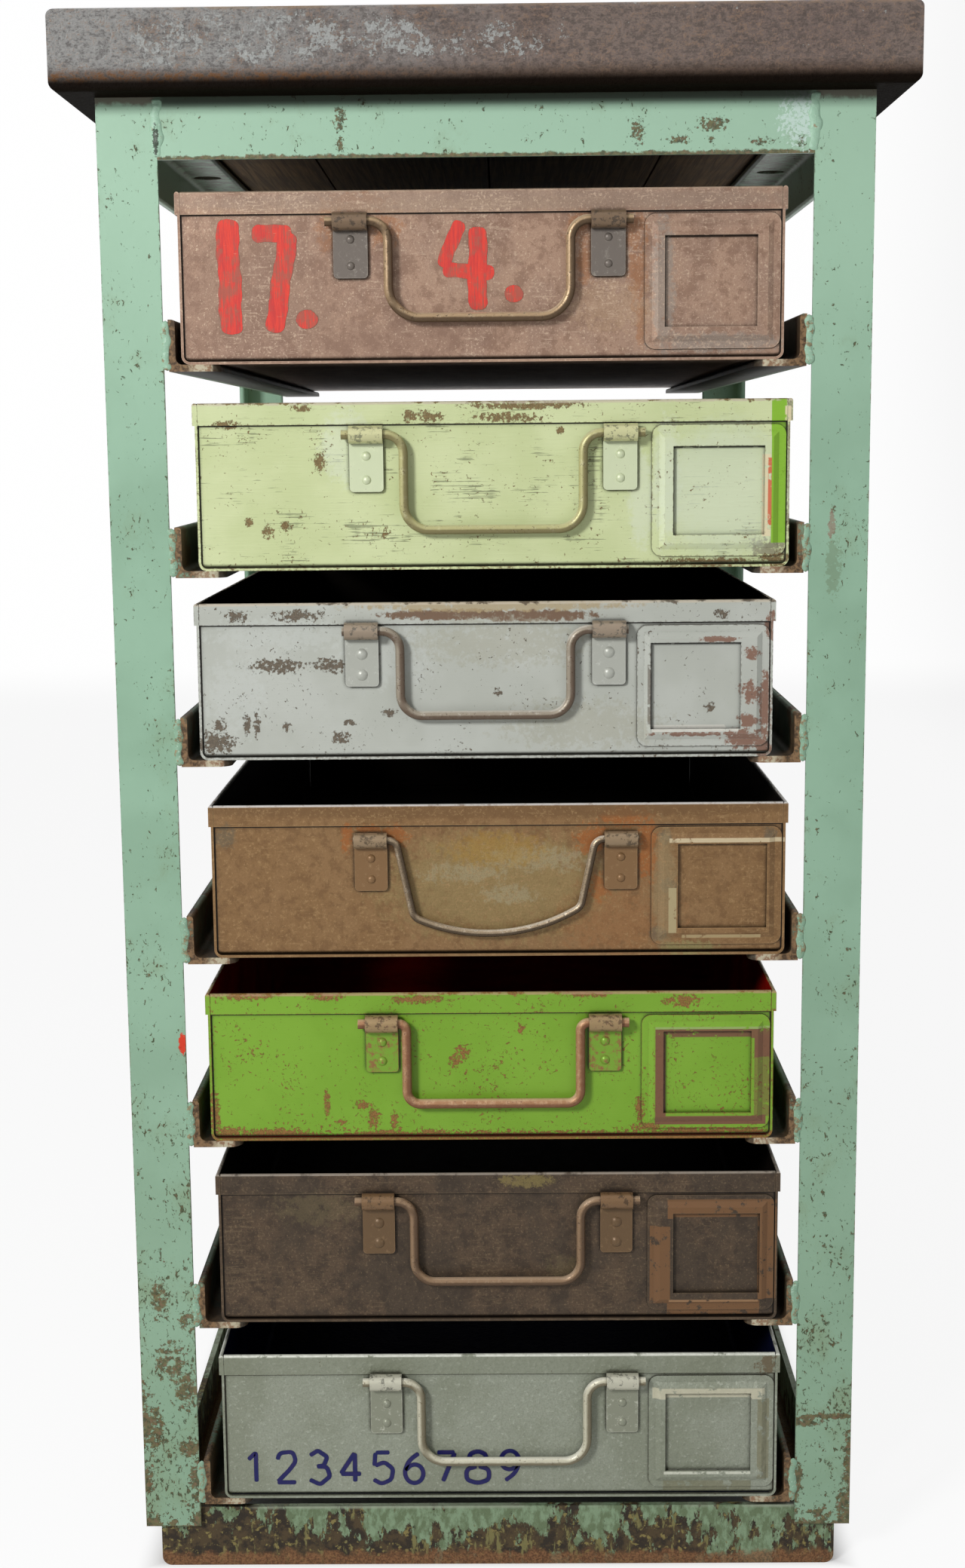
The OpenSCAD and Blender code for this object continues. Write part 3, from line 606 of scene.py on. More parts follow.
def lay_inside(coat, n, inside, deep):
    """Lays the colour of a drawer's inside, cloudy between two tints, on the faces that look into
    it, and takes their shine off. Near-black tints there are painted shade."""
    middle, _, rim, half = drawer_box(n)
    across = coat.calc("SUBTRACT", coat.x, middle)
    inward = coat.times(coat.calc("SIGN", across), coat.facing_x)
    side = coat.times(coat.rise(inward, -0.4, -0.7), coat.rise(coat.far(across), half - 1.9, half - 2.3))
    floor = coat.times(coat.rise(coat.facing_z, 0.4, 0.7), coat.rise(coat.z, rim - 5, rim - 15))
    end = coat.rise(coat.times(coat.calc("SIGN", coat.y), coat.facing_y), -0.4, -0.7)
    behind = coat.rise(coat.far(coat.y), -FACE - 0.9, -FACE - 1.5)
    coat.inner = coat.times(coat.most(side, floor, end), behind)
    # Painted shade: the inside is laid in dark tints.
    coat.lay(coat.inner, coat.mix(coat.noise(46, 3, 0.55, shift=n), tone(*inside), tone(*deep)))


def seam_shade_lines(coat, n, dark):
    """Painted shade in the seams on the front: under the folded rim, and along the shell's edges round
    the panel.
    """
    middle, foot, rim, half = drawer_box(n)
    hem = coat.rise(coat.far(coat.z, rim - 13.4), 0.75, 0.3)
    sides = coat.rise(coat.far(coat.x, middle), half - 4.2, half - 3.7)
    low = coat.rise(coat.z, foot + 2.5, foot + 1.9)
    sheet = coat.times(coat.rise(coat.y, FACE - 0.9, FACE - 0.5), coat.rise(coat.y, FACE + 0.9, FACE + 0.5))
    face = coat.times(coat.rise(coat.facing_y, -0.7, -0.9), sheet)
    # Painted shade along the seams.
    coat.lay(coat.times(coat.most(hem, sides, low), face), dark, 0.9)


def close_sheet(coat, n, painted_shade, seam, inside):
    """The last layers on a drawer: painted shade in its folds and along its seams, and its inside."""
    # Painted shade in the folds.
    coat.painted_shade(3, 0.12, 0.42, painted_shade, 0.85)
    seam_shade_lines(coat, n, seam)
    lay_inside(coat, n, *inside)


def label_window(n, shift):
    """The left, lower, right and upper edge of the window in the label holder of drawer n, from the
    drawer's middle and foot. The window is cut shift mm right of the holder's middle."""
    middle, foot = drawer_box(n)[:2]
    low, high = span(f"drawer_{n}_label")
    x, z = (low[0] + high[0]) / 2 + shift - middle, (low[2] + high[2]) / 2 - foot
    return x - 27, z - 26, x + 27, z + 26


def touch_up(coat, n, stains=(), strips=()):
    """Lays stains, each (ellipses, raggedness, colour, share), the fainter the softer, and strips,
    each (left, low, right, high, colour, share), over the front of drawer n, measured from its
    middle and foot."""
    middle, foot = drawer_box(n)[:2]
    front = in_front(coat)
    for k, (spots, ragged, tint, share) in enumerate(stains):
        field = coat.patches([(middle + u, foot + w, a, b) for u, w, a, b in spots], 2 * ragged, 4.2,
                             3.0 * n + k, 1.3 - share)
        coat.lay(coat.times(field, front), tint, share)
    gaps = coat.rise(coat.noise(6, 4, 0.66, shift=7.0 * n), 0.36, 0.44)
    for left, low, right, high, tint, share in strips:
        block = coat.block(middle + left, foot + low, middle + right, foot + high)
        field = coat.times(block, front, share)
        coat.lay(coat.times(field, gaps) if share < 1 else field, tint)


def window_shadow(coat, n, window, dark, share=0.85):
    """A dark line inside the upper and left edges of the label's window."""
    left, low, right, high = window
    touch_up(coat, n, strips=[(left, high - 1.0, right, high + 0.2, dark, share),
                              (left - 0.1, low, left + 0.7, high, dark, share * 0.8)])


def painted_sheet(n, paint, tint, rust, chip=0.0, wear=0.1, rub=0.12, scratch=0.0, window=0.0, rims=0.0,
                  shine=0.4, line=(196, 184, 164), inside=((30, 26, 22), (16, 14, 12)), marks=(),
                  stains=(), strips=()):
    """Old paint on sheet: clouds of two tints, chips down to rust, edges rubbed bare, a painted highlight
    along the edges, fine scratches along the drawer, and painted shade in its seams, folds and inside.
    chip, wear, rub and scratch set how much of each there is, marks are larger chips, rims is how far
    rust has crept down the folded rim, line is the colour of its crest, worn bare and painted as a
    highlight."""
    coat = Coat(f"drawer_{n}_sheet")
    middle, foot, rim, _ = drawer_box(n)
    seed = 4.0 * n
    clouds = coat.noise(46, 3, 0.55, shift=seed)
    groups = coat.noise(26, 3, 0.6, shift=seed + 1)
    flecks = coat.noise(2.0, 4, 0.64, warp=0.6, shift=seed)
    grain = coat.noise(0.8, 2, 0.6)
    edge = coat.edges(1.2)
    coat.colour = coat.between(clouds, 0.36, 0.64, paint, tint)
    lines = coat.noise(0.9, 4, 0.7, stretch=(34, 34, 1), shift=seed)
    if scratch:
        streak = coat.rise(coat.total(lines, (groups, 0.9)), 1.175 - scratch * 0.07,
                           1.205 - scratch * 0.07)
        coat.lay(streak, [0.5 * c for c in paint], 0.65)
    touch_up(coat, n, stains)
    # Painted highlight: the paint turns lighter along the edges.
    coat.lay(edge, [min(255, 1.16 * c + 12) for c in paint], 0.4)
    low = coat.rise(coat.z, foot + 8, foot + 1)
    bare = coat.total(flecks, (groups, 0.32), (edge, wear), (low, rub * 0.5), chip - 0.16)
    chips = coat.rise(bare, 0.672, 0.69)
    if marks:
        broken = coat.patches([(middle + u, foot + w, a, b) for u, w, a, b in marks], 13.0, 2.2, seed)
        chips = coat.most(chips, coat.times(broken, in_front(coat)))
    if rims:
        creep = coat.rise(coat.total(coat.z, (coat.noise(12, 5, 0.68, shift=seed), 14.0)),
                          rim + 8.2 - 5 * rims, rim + 8.8 - 5 * rims)
        chips = coat.most(chips, creep)
    under = coat.between(grain, 0.4, 0.6, rust, [min(255, 1.25 * c) for c in rust])
    coat.lay(coat.rise(bare, 0.648, 0.675), [0.74 * c for c in paint], 0.4)
    coat.lay(chips, under, 0.93)
    touch_up(coat, n, strips=strips)
    window_shadow(coat, n, label_window(n, window), tuple(0.22 * c for c in rust))
    # The pale crest of the rim: worn bare, and a painted highlight.
    crest = coat.times(coat.rise(coat.z, rim - 2.0, rim - 1.2),
                       coat.rise(coat.noise(12, 5, 0.66, shift=seed), 0.60, 0.50))
    coat.lay(crest, line, 0.75)
    close_sheet(coat, n, (40, 35, 27), (22, 17, 12), inside)
    height = coat.total((chips, -0.9), (coat.noise(20, 2, shift=seed), 1.0), (lines, 0.3 + scratch),
                        (coat.times(grain, chips), 0.8))
    return coat.done(coat.total((chips, 0.3), (clouds, 0.12), shine - 0.06), height=height, depth=0.2)


def bare_sheet(n, brown, light, dark, fleck, window=0.0, bright=0.0, metal=0.3, shine=0.46, stains=(),
               strips=()):
    """Sheet gone brown all over: clouds of three browns, light flecks, edges and a rim rubbed pale and
    painted with a highlight as bright as bright says, and painted shade in its seams, folds and inside."""
    coat = Coat(f"drawer_{n}_sheet")
    rim = drawer_box(n)[2]
    seed = 4.0 * n
    broad = coat.noise(38, 6, 0.66, shift=seed, stretch=(1, 1, 1.5))
    blots = coat.noise(9, 6, 0.74, shift=seed)
    flecks = coat.noise(1.6, 4, 0.68, shift=seed)
    grain = coat.noise(0.8, 3, 0.65)
    coat.colour = coat.between(broad, 0.42, 0.56, brown, light)
    coat.lay(coat.rise(blots, 0.48, 0.60), dark, 0.6)
    coat.lay(coat.rise(broad, 0.56, 0.66), dark, 0.3)
    touch_up(coat, n, stains)
    rubs = coat.rise(coat.total(coat.noise(1.4, 4, 0.7, stretch=(9, 9, 1), shift=seed), (broad, 0.6)),
                     0.90, 0.98)
    coat.lay(rubs, fleck, 0.35)
    sparks = coat.rise(coat.total(flecks, (blots, -0.25), (broad, 0.2)), 0.52, 0.64)
    coat.lay(sparks, fleck, 0.6)
    coat.lay(coat.rise(grain, 0.55, 0.35), dark, 0.3)
    touch_up(coat, n, strips=strips)
    # The rubbed edges: worn pale, and a painted highlight.
    rubbed = coat.rise(coat.total(coat.edges(1.2), (blots, 0.9)), 0.75, 1.15)
    coat.lay(rubbed, fleck, 0.3 + 0.3 * bright)
    window_shadow(coat, n, label_window(n, window), tuple(0.25 * c for c in dark))
    # The pale crest of the rim: worn, and a painted highlight.
    crest = coat.times(coat.rise(coat.z, rim - 1.5, rim - 0.5), coat.rise(blots, 0.70, 0.50))
    coat.lay(crest, [c + (216 - c) * bright for c in fleck], 0.55 + 0.4 * bright)
    close_sheet(coat, n, (30, 23, 17), (18, 13, 9), ((26, 21, 18), (12, 10, 9)))
    height = coat.total((blots, 1.0), (flecks, 0.5), (grain, 0.3), (coat.noise(24, 2, shift=seed), 1.2))
    return coat.done(coat.total((blots, 0.25), (broad, 0.1), shine - 0.17), metal, height, 0.16)


def hammered_sheet(n, window, stains, strips):
    """Hammer finish: rounded cells about 4 mm wide, paler at their tops as a painted highlight, over
    two grey greens.
    """
    coat = Coat(f"drawer_{n}_sheet")
    rim = drawer_box(n)[2]
    clouds = coat.noise(42, 3, 0.55, shift=28.0)
    cells = coat.cells(4.2, shift=2.0)
    ripples = coat.noise(2.6, 4, 0.62)
    dots = coat.noise(1.2, 2, 0.6, shift=3.0)
    coat.colour = coat.between(clouds, 0.38, 0.62, (136, 141, 124), (148, 153, 138))
    # Painted highlight: the paint turns paler where the ripples stand highest.
    coat.lay(coat.rise(ripples, 0.55, 0.68), (184, 188, 174), 0.42)
    coat.lay(coat.rise(dots, 0.55, 0.35), (112, 116, 98), 0.3)
    band = coat.times(coat.rise(coat.z, rim - 13.6, rim - 13.2), coat.rise(coat.y, FACE - 0.3, FACE - 0.9))
    coat.lay(band, (116, 120, 100), 0.4)
    touch_up(coat, n, stains, strips)
    chips = coat.rise(coat.total(coat.noise(2.2, 3, 0.62, warp=0.4, shift=8.0),
                                 (coat.edges(1.2), 0.12)), 0.73, 0.75)
    coat.lay(chips, (90, 76, 56), 0.9)
    left, low, right, high = label_window(n, window)
    window_shadow(coat, n, (left, low, right, high), (44, 42, 30))
    sill = (left - 1, low - 2.2, right, low - 0.4, (206, 208, 192), 0.95)
    touch_up(coat, n, strips=[sill])
    # The pale crest of the rim: worn, and a painted highlight.
    crest = coat.times(coat.rise(coat.z, rim - 1.9, rim - 1.0),
                       coat.rise(coat.noise(10, 5, 0.66, shift=9.0), 0.64, 0.56))
    coat.lay(crest, (214, 216, 204), 0.92)
    close_sheet(coat, n, (46, 43, 32), (50, 46, 34), ((20, 26, 56), (10, 12, 26)))
    height = coat.total((cells, -1.2), (ripples, 1.8), (dots, 0.3))
    return coat.done(coat.total((ripples, -0.2), (chips, 0.3), 0.5), 0.15, height, 0.3)


CREAM, COPPER, RUST = (228, 214, 176), (116, 84, 56), (120, 84, 62)
sheets = (
    bare_sheet(1, (164, 135, 115), (152, 125, 108), (122, 94, 78), (204, 180, 156), window=-1.0,
        stains=[
            ([(-89, 76, 6, 13), (-72, 91, 16, 6), (-56, 76, 8, 8), (60, 76, 9, 9), (61, 56, 4, 12),
              (90, 72, 6, 12), (91, 48, 5, 15), (93, 26, 2.4, 17)], 4.5, (156, 104, 64), 0.55),
            ([(74, 31, 22, 12), (-100, 88, 60, 4), (20, 90, 90, 3)], 5.0, (176, 148, 120), 0.45),
            ([(-140, 40, 70, 44), (-60, 14, 60, 12), (110, 90, 70, 6)], 3.0, (128, 102, 88), 0.5),
            ([(106, 44, 6, 34), (140, 10, 34, 5)], 3.0, (146, 136, 126), 0.7),
            ([(0, 92, 190, 5.5)], 1.0, (146, 127, 112), 0.6)]),
    painted_sheet(2, (198, 208, 156), (208, 217, 168), (104, 84, 54), chip=0.008, wear=0.16, scratch=0.9,
        rims=0.3,
        marks=[(-102, 64, 2.6, 4.5), (-145, 29, 2, 2.4), (-134, 23, 2.6, 3.6), (-123, 26, 2.6, 2.4),
            (-64, 22, 2.2, 2.6), (-157, 86, 6, 2), (-112, 95, 5, 1.8), (-49, 90, 3.4, 3),
            (-37, 90, 7, 2.6), (19, 96, 26, 2), (10, 89, 16, 2.2), (124, 3, 22, 2.2), (168, 4, 7, 4),
            (40, 81, 2.6, 1.8), (76, 76, 9, 1.6)],
        stains=[
            ([(-86, 72, 14, 20), (103, 50, 7, 34), (88, 40, 7, 26)], 2.5, (214, 222, 196), 0.6),
            ([(163, 11, 9, 5.5), (176, 60, 2, 40)], 4.5, (124, 116, 98), 0.8),
            ([(137, 46, 36, 36)], 0.8, (210, 220, 196), 0.6)],
        strips=[(164.6, 14, 173.4, 98, (136, 184, 56), 1.0), (159.5, 18, 164.4, 66, CREAM, 0.9),
            (162.6, 22, 164.8, 64, (206, 84, 46), 0.85), (172.4, 85, 176, 94, CREAM, 0.9)]),
    painted_sheet(3, (179, 182, 173), (187, 190, 182), (84, 73, 60), chip=-0.008, wear=0.18, rub=0.1,
        rims=0.35, window=-4.5,
        marks=[(-125, 56.5, 14, 3.2), (-93, 57, 8, 3.4), (-163, 10, 9, 5.5), (-161, 21, 3, 3),
            (-144, 22, 1.8, 5), (-138, 21, 1.6, 6.4), (-87, 13, 4.4, 3), (-82, 22, 2.8, 1.4),
            (-120, 20, 1.8, 2.4), (-57, 28, 3.6, 1.8), (-112, 87, 12, 2.8), (-148, 87, 5.5, 2.6),
            (142, 86, 3.4, 2.2), (7, 40, 2.2, 2), (135, 30, 2.4, 2.4)],
        stains=[
            ([(-20, 87, 40, 3), (30, 86, 34, 3.2)], 2.5, (112, 86, 66), 0.95),
            ([(-60, 62, 24, 16), (-120, 76, 40, 8), (-150, 40, 14, 20)], 5.0, (194, 198, 192), 0.5),
            ([(10, 70, 44, 12), (60, 20, 40, 12)], 5.0, (166, 164, 146), 0.5),
            ([(5, 92, 70, 3)], 3.0, (172, 154, 118), 0.8),
            ([(160, 63, 4.4, 3.4), (159, 39, 5.4, 5.4), (158, 22, 5.4, 3.4), (156, 11, 11, 6),
              (168, 30, 3.4, 18), (168, 4, 5, 5), (171, 78, 3, 8), (140, 71, 10, 1.6),
              (128, 14, 24, 1.3)], 4.0, (128, 90, 72), 0.9)],
        strips=[(100, 15.4, 152, 19.2, (214, 212, 202), 0.9), (97.5, 20, 99.5, 56, (92, 80, 68), 0.7)]),
    bare_sheet(4, (138, 107, 72), (132, 101, 66), (108, 79, 50), (164, 134, 94), bright=0.9, metal=0.2,
        shine=0.42, window=3.5,
        stains=[
            ([(-2, 44, 62, 30)], 2.0, (146, 130, 86), 0.6),
            ([(6, 38, 14, 5), (-20, 52, 22, 5), (24, 60, 26, 6)], 5.5, (168, 164, 136), 0.35),
            ([(-63, 75, 8, 6), (-79, 80, 7, 2.6), (-92, 74, 3, 9), (57, 72, 9, 8), (78, 86, 14, 6),
              (91, 66, 6, 18), (62, 42, 5, 8)], 4.5, (158, 92, 42), 0.7),
            ([(74, 20, 30, 20)], 4.0, (148, 100, 60), 0.4),
            ([(0, 92, 190, 6)], 1.0, (112, 84, 54), 0.8),
            ([(-6, 71, 8, 5), (0, 66, 26, 9)], 4.0, (160, 124, 46), 0.45),
            ([(-166, 75, 6, 7), (101, 74, 4, 4), (104, 44, 4.6, 4), (98, 13, 5, 4), (165, 75, 4, 4)], 3.0,
              (92, 90, 76), 0.6),
            ([(115, 4, 16, 4.4)], 3.0, (142, 134, 88), 0.8),
            ([(101, 42, 6.5, 34)], 2.0, (144, 126, 92), 0.65)],
        strips=[(104, 70, 174, 72.6, (206, 190, 156), 0.9), (103.6, 14, 108.4, 42, (176, 162, 124), 0.85),
            (112, 10.4, 160, 12.6, (190, 170, 128), 0.8)]),
    painted_sheet(5, (120, 163, 48), (126, 169, 54), (120, 82, 48), chip=0.034, wear=0.22, rub=0.5,
        rims=0.3, window=1.0, inside=((150, 20, 10), (60, 8, 4)), shine=0.36, line=(178, 146, 112),
        marks=[(-17, 56, 3.8, 4), (-22, 50, 3.2, 3.6), (-150, 93, 14, 2.4), (60, 93, 12, 2),
            (-100, 92, 9, 2), (-102, 23, 1.6, 7), (-73, 14, 3, 6), (-80, 22, 4, 2.4), (-93, 11, 3, 1.6),
            (-172, 17, 2.6, 12), (-163, 5, 10, 3), (-136, 5, 18, 2), (-63, 4, 10, 2), (-36, 4, 8, 2),
            (-45, 90, 14, 2.2), (-60, 12, 2, 5), (19, 71, 1.6, 3), (120, 88, 8, 3.4), (109, 88, 3, 2),
            (92, 19, 2.4, 7), (97, 7, 8, 2.2), (122, 5, 14, 1.6), (150, 5, 18, 1.6)],
        strips=[(101.4, 64.4, 172.6, 71.4, RUST, 0.97), (101.4, 9, 108, 66, RUST, 1.0),
            (101.4, 8.8, 170, 14.8, RUST, 1.0), (162.4, 52, 172.6, 66, RUST, 1.0),
            (162.4, 14, 172.6, 54, RUST, 0.6), (101.4, 70.2, 172.6, 71.6, (156, 186, 110), 0.8)]),
    bare_sheet(6, (72, 60, 48), (84, 68, 53), (52, 43, 35), (122, 104, 80), bright=0.45, metal=0.1,
        shine=0.5, window=3.5,
        stains=[
            ([(18, 92, 15, 4)], 4.0, (132, 118, 72), 0.7),
            ([(41, 34, 9, 7), (-110, 74, 24, 9)], 5.0, (104, 92, 66), 0.5)],
        strips=[(95, 11, 107.6, 62, COPPER, 0.95), (106, 67.2, 174, 79, COPPER, 0.98),
            (162.6, 14, 174, 78, COPPER, 0.98), (106, 2, 164, 13, COPPER, 0.95),
            (107, 12, 163, 13.8, (170, 132, 96), 0.9)]),
    hammered_sheet(7, -2.0,
        stains=[([(169, 88, 6, 6)], 4.5, (98, 82, 58), 0.8)],
        strips=[(97, 66.4, 168, 73.6, (196, 192, 168), 0.9), (163.4, 12, 171, 66, (124, 120, 92), 0.7),
            (104, 3.4, 160, 10.6, (120, 118, 92), 0.7)]),
)
for n, sheet in enumerate(sheets, 1):
    cover(sheet, *(f"drawer_{n}_{part}" for part in ("shell", "front", "back", "label")))

# ---- Painted numbers -------------------------------------------------------------------------
# Plain numbers on two of the drawers: red ones brushed on by hand on the first, and a row of
# small dark blue digits along the foot of the seventh.


def brush_stroke(corners, half, seed, wobble=1.0):
    """Closed film of paint: the line through the corners is evened out to steps points and smoothed
    by a running mean of nine, and a flat strip rides along it. Its half width ends in round tips
    and wanders by two slow sines times wobble. Each stroke stands a little prouder of the face than
    the last, so that they may cross."""
    steps = 70
    rng = np.random.default_rng(seed)
    corners = np.array(corners, float)
    legs = np.concatenate([[0], np.cumsum(np.linalg.norm(np.diff(corners, axis=0), axis=1))])
    reach = np.linspace(0, legs[-1], steps)
    line = np.stack([np.interp(reach, legs, corners[:, k]) for k in range(2)], -1)
    padded = np.concatenate([np.repeat(line[:1], 4, 0), line, np.repeat(line[-1:], 4, 0)])
    line = np.stack([np.convolve(padded[:, k], np.ones(9) / 9, "valid") for k in range(2)], -1)
    heading = np.gradient(line, axis=0)
    heading /= np.linalg.norm(heading, axis=1)[:, None] + 1e-9
    side = np.stack([-heading[:, 1], heading[:, 0]], -1)
    tip = np.clip(np.minimum(reach, legs[-1] - reach) / half, 0, 1)
    phase = rng.uniform(0, 2 * np.pi, 4)
    proud = FACE - 0.12 - 0.03 * (seed % 8)
    wander = [1 + wobble * (0.07 * np.sin(reach / 5 + p) + 0.04 * np.sin(reach / 1.7 + q))
              for p, q in (phase[:2], phase[2:])]
    round_tip = half * np.sqrt(np.clip(1 - (1 - tip) ** 2, 0.003, 1))
    left = line - side * (round_tip * wander[0])[:, None]
    right = line + side * (round_tip * wander[1])[:, None]
    rings = [np.insert(edge, 1, y, axis=1) for edge, y in
             ((left, proud), (right, proud), (right, FACE + 0.2), (left, FACE + 0.2))]
    points = np.stack(rings, 1)
    ends = np.array([[0, 1, 2, 3], [4 * steps - k for k in (1, 2, 3, 4)]])
    return points.reshape(-1, 3), np.concatenate([quads(steps, 4), ends])


def red_brushwork():
    """Red paint thin at the ends of its strokes, streaked by the bristles and scratched through."""
    coat = Coat("red_brushwork")
    streaks = coat.noise(1.1, 4, 0.66, stretch=(1, 1, 14))
    worn = coat.noise(13, 4, 0.62, shift=2.0)
    scratches = coat.noise(0.7, 3, 0.6, stretch=(12, 12, 1), shift=6.0)
    coat.colour = coat.between(streaks, 0.36, 0.64, (226, 72, 58), (198, 62, 60))
    coat.lay(coat.rise(coat.total(worn, (streaks, 0.5)), 0.70, 0.86), (158, 96, 80), 0.75)
    coat.lay(coat.rise(scratches, 0.68, 0.74), (214, 150, 124), 0.7)
    return coat.done(0.5, height=streaks, depth=0.08)


def blue_enamel():
    """Dark blue enamel with a little purple in its clouds."""
    coat = Coat("blue_enamel")
    clouds = coat.noise(6, 4, 0.62)
    coat.colour = coat.between(clouds, 0.38, 0.62, (22, 26, 84), (34, 30, 86))
    return coat.done(coat.total((clouds, 0.2), 0.3), height=clouds, depth=0.05)


def numbers(name, n, strokes, material, wobble=1.0):
    """Brush strokes, each (corners, half width), measured from the middle and foot of drawer n."""
    middle, foot = drawer_box(n)[:2]
    parts = [brush_stroke([(middle + u, foot + w) for u, w in corners], half, seed, wobble)
             for seed, (corners, half) in enumerate(strokes)]
    return solid(name, parts, f"drawer_{n}", material, smooth=False)


def digit_row(left, low, pitch, tall, half):
    """The digits 1 to 9 in single strokes: corners in a box 0.62 wide and 1 high, scaled by tall."""
    six = [(0.5, 1.0), (0.14, 0.72), (-0.02, 0.3), (0.14, -0.04), (0.48, -0.04), (0.64, 0.28), (0.48, 0.6),
           (0.16, 0.58), (0.02, 0.34)]
    shapes = (
        [[(0.1, 0.76), (0.36, 1.02), (0.36, 0.0)]],
        [[(0.02, 0.74), (0.1, 1.0), (0.52, 1.04), (0.62, 0.72), (0.42, 0.44), (0.0, 0.0)],
         [(0.0, 0.0), (0.62, 0.0)]],
        [[(0.03, 0.9), (0.3, 1.08), (0.6, 0.86), (0.48, 0.56), (0.24, 0.54)],
         [(0.24, 0.54), (0.58, 0.52), (0.68, 0.2), (0.36, -0.08), (0.0, 0.1)]],
        [[(0.46, 0.0), (0.46, 1.0)], [(0.46, 1.0), (0.0, 0.28)], [(0.0, 0.28), (0.66, 0.28)]],
        [[(0.56, 1.0), (0.1, 1.0)], [(0.1, 1.0), (0.06, 0.54)],
         [(0.06, 0.54), (0.38, 0.68), (0.66, 0.44), (0.6, 0.08), (0.28, -0.07), (0.0, 0.1)]],
        [six],
        [[(0.02, 1.0), (0.6, 1.0)], [(0.6, 1.0), (0.2, 0.0)]],
        [[(0.3, 0.53), (0.04, 0.62), (0.04, 0.94), (0.3, 1.04), (0.56, 0.94), (0.56, 0.62), (0.3, 0.53)],
         [(0.3, 0.53), (-0.06, 0.42), (-0.06, 0.06), (0.3, -0.06), (0.66, 0.06), (0.66, 0.42), (0.3, 0.53)]],
        [[(0.62 - x, 1 - z) for x, z in six]],
    )
    return [([(left + k * pitch + x * tall, low + z * tall) for x, z in corners], half)
            for k, shape in enumerate(shapes) for corners in shape]


red = red_brushwork()
numbers("red_number_left", 1, [([(-148, 84), (-146.5, 16)], 6.6), ([(-134, 74), (-110, 75)], 5.0),
                               ([(-112, 76), (-122, 17)], 5.6), ([(-103, 31), (-101.5, 20)], 6.4)], red)
numbers("red_number_middle", 1, [([(-12, 81), (-23, 54)], 4.0), ([(-23, 53), (8, 51)], 4.2),
                                 ([(-2, 78), (-2.5, 29)], 5.4), ([(18.5, 44), (19.5, 34)], 5.4)], red)
numbers("blue_digits", 7, digit_row(-163, 10, 20.4, 20.0, 1.35), blue_enamel(), 0.3)

# ---- Lugs and bails --------------------------------------------------------------------------
# A strip rolled into an eye at its upper end is riveted on twice at each drawer's front. A bail
# bent from round wire turns in the two eyes; hands have rubbed its paint off along the grip.


def worn_steel(name, base, worn, dark, wear=0.0, metal=0.2, rough=0.36, eye=None, eye_z=0.0, sides=0.0):
    """Paint or rust on small steel, rubbed through on its edges and in patches, which on the edges also
    serves as a painted highlight; eye is the colour that the rolled eye has above eye_z, where it
    differs from the plate, and sides is how far a wire is painted light above and at its left and
    painted shade below and at its right, in its worn and dark colours."""
    coat = Coat(name)
    rub = coat.noise(4, 5, 0.7, shift=len(name))
    flecks = coat.noise(1.6, 4, 0.66, shift=3.0)
    grain = coat.noise(0.7, 2, 0.6)
    # Painted light: this field is high on faces that look up and to the left.
    toward_light = coat.total((coat.facing_z, 0.8), (coat.facing_x, -0.45), (rub, 0.16), -0.08)
    # The rubbed patches gather on edges, where they also serve as a painted highlight.
    gone = coat.rise(coat.total(rub, (flecks, 0.4), (coat.edges(0.9), 0.25), wear), 0.72, 0.90)
    coat.colour = coat.over(tone(*base), coat.times(gone, 1 - 0.7 * sides), worn)
    spots = coat.rise(coat.total(flecks, (rub, 0.4)), 0.88 - 0.12 * sides, 0.94 - 0.06 * sides)
    coat.lay(spots, dark, 0.85)
    # Painted shade below and a painted highlight above, on the wires.
    coat.lay(coat.rise(toward_light, 0.22, -0.12), dark, 0.85 * sides)
    coat.lay(coat.rise(toward_light, 0.45, 0.8), worn, 0.7 * sides)
    if eye:
        rolled = coat.rise(coat.total(coat.z, (rub, 3.0)), eye_z - 4.2, eye_z - 3.4)
        coat.lay(rolled, coat.between(rub, 0.52, 0.60, eye, [0.62 * c for c in eye]), 0.88)
    # Painted shade in the corners.
    coat.painted_shade(4, 0.25, 0.7, [0.3 * c for c in dark], 0.7)
    height = coat.total((gone, -0.4), (flecks, 0.5), (grain, 0.3))
    return coat.done(coat.total((flecks, 0.25), rough - 0.12), metal, height, 0.14)


def eye_height(n):
    """The height of the pin through the eyes of drawer n: the middle of the bail's straight ends."""
    low, high = span(f"drawer_{n}_bail")
    return high[2] - (high[1] - low[1]) / 2


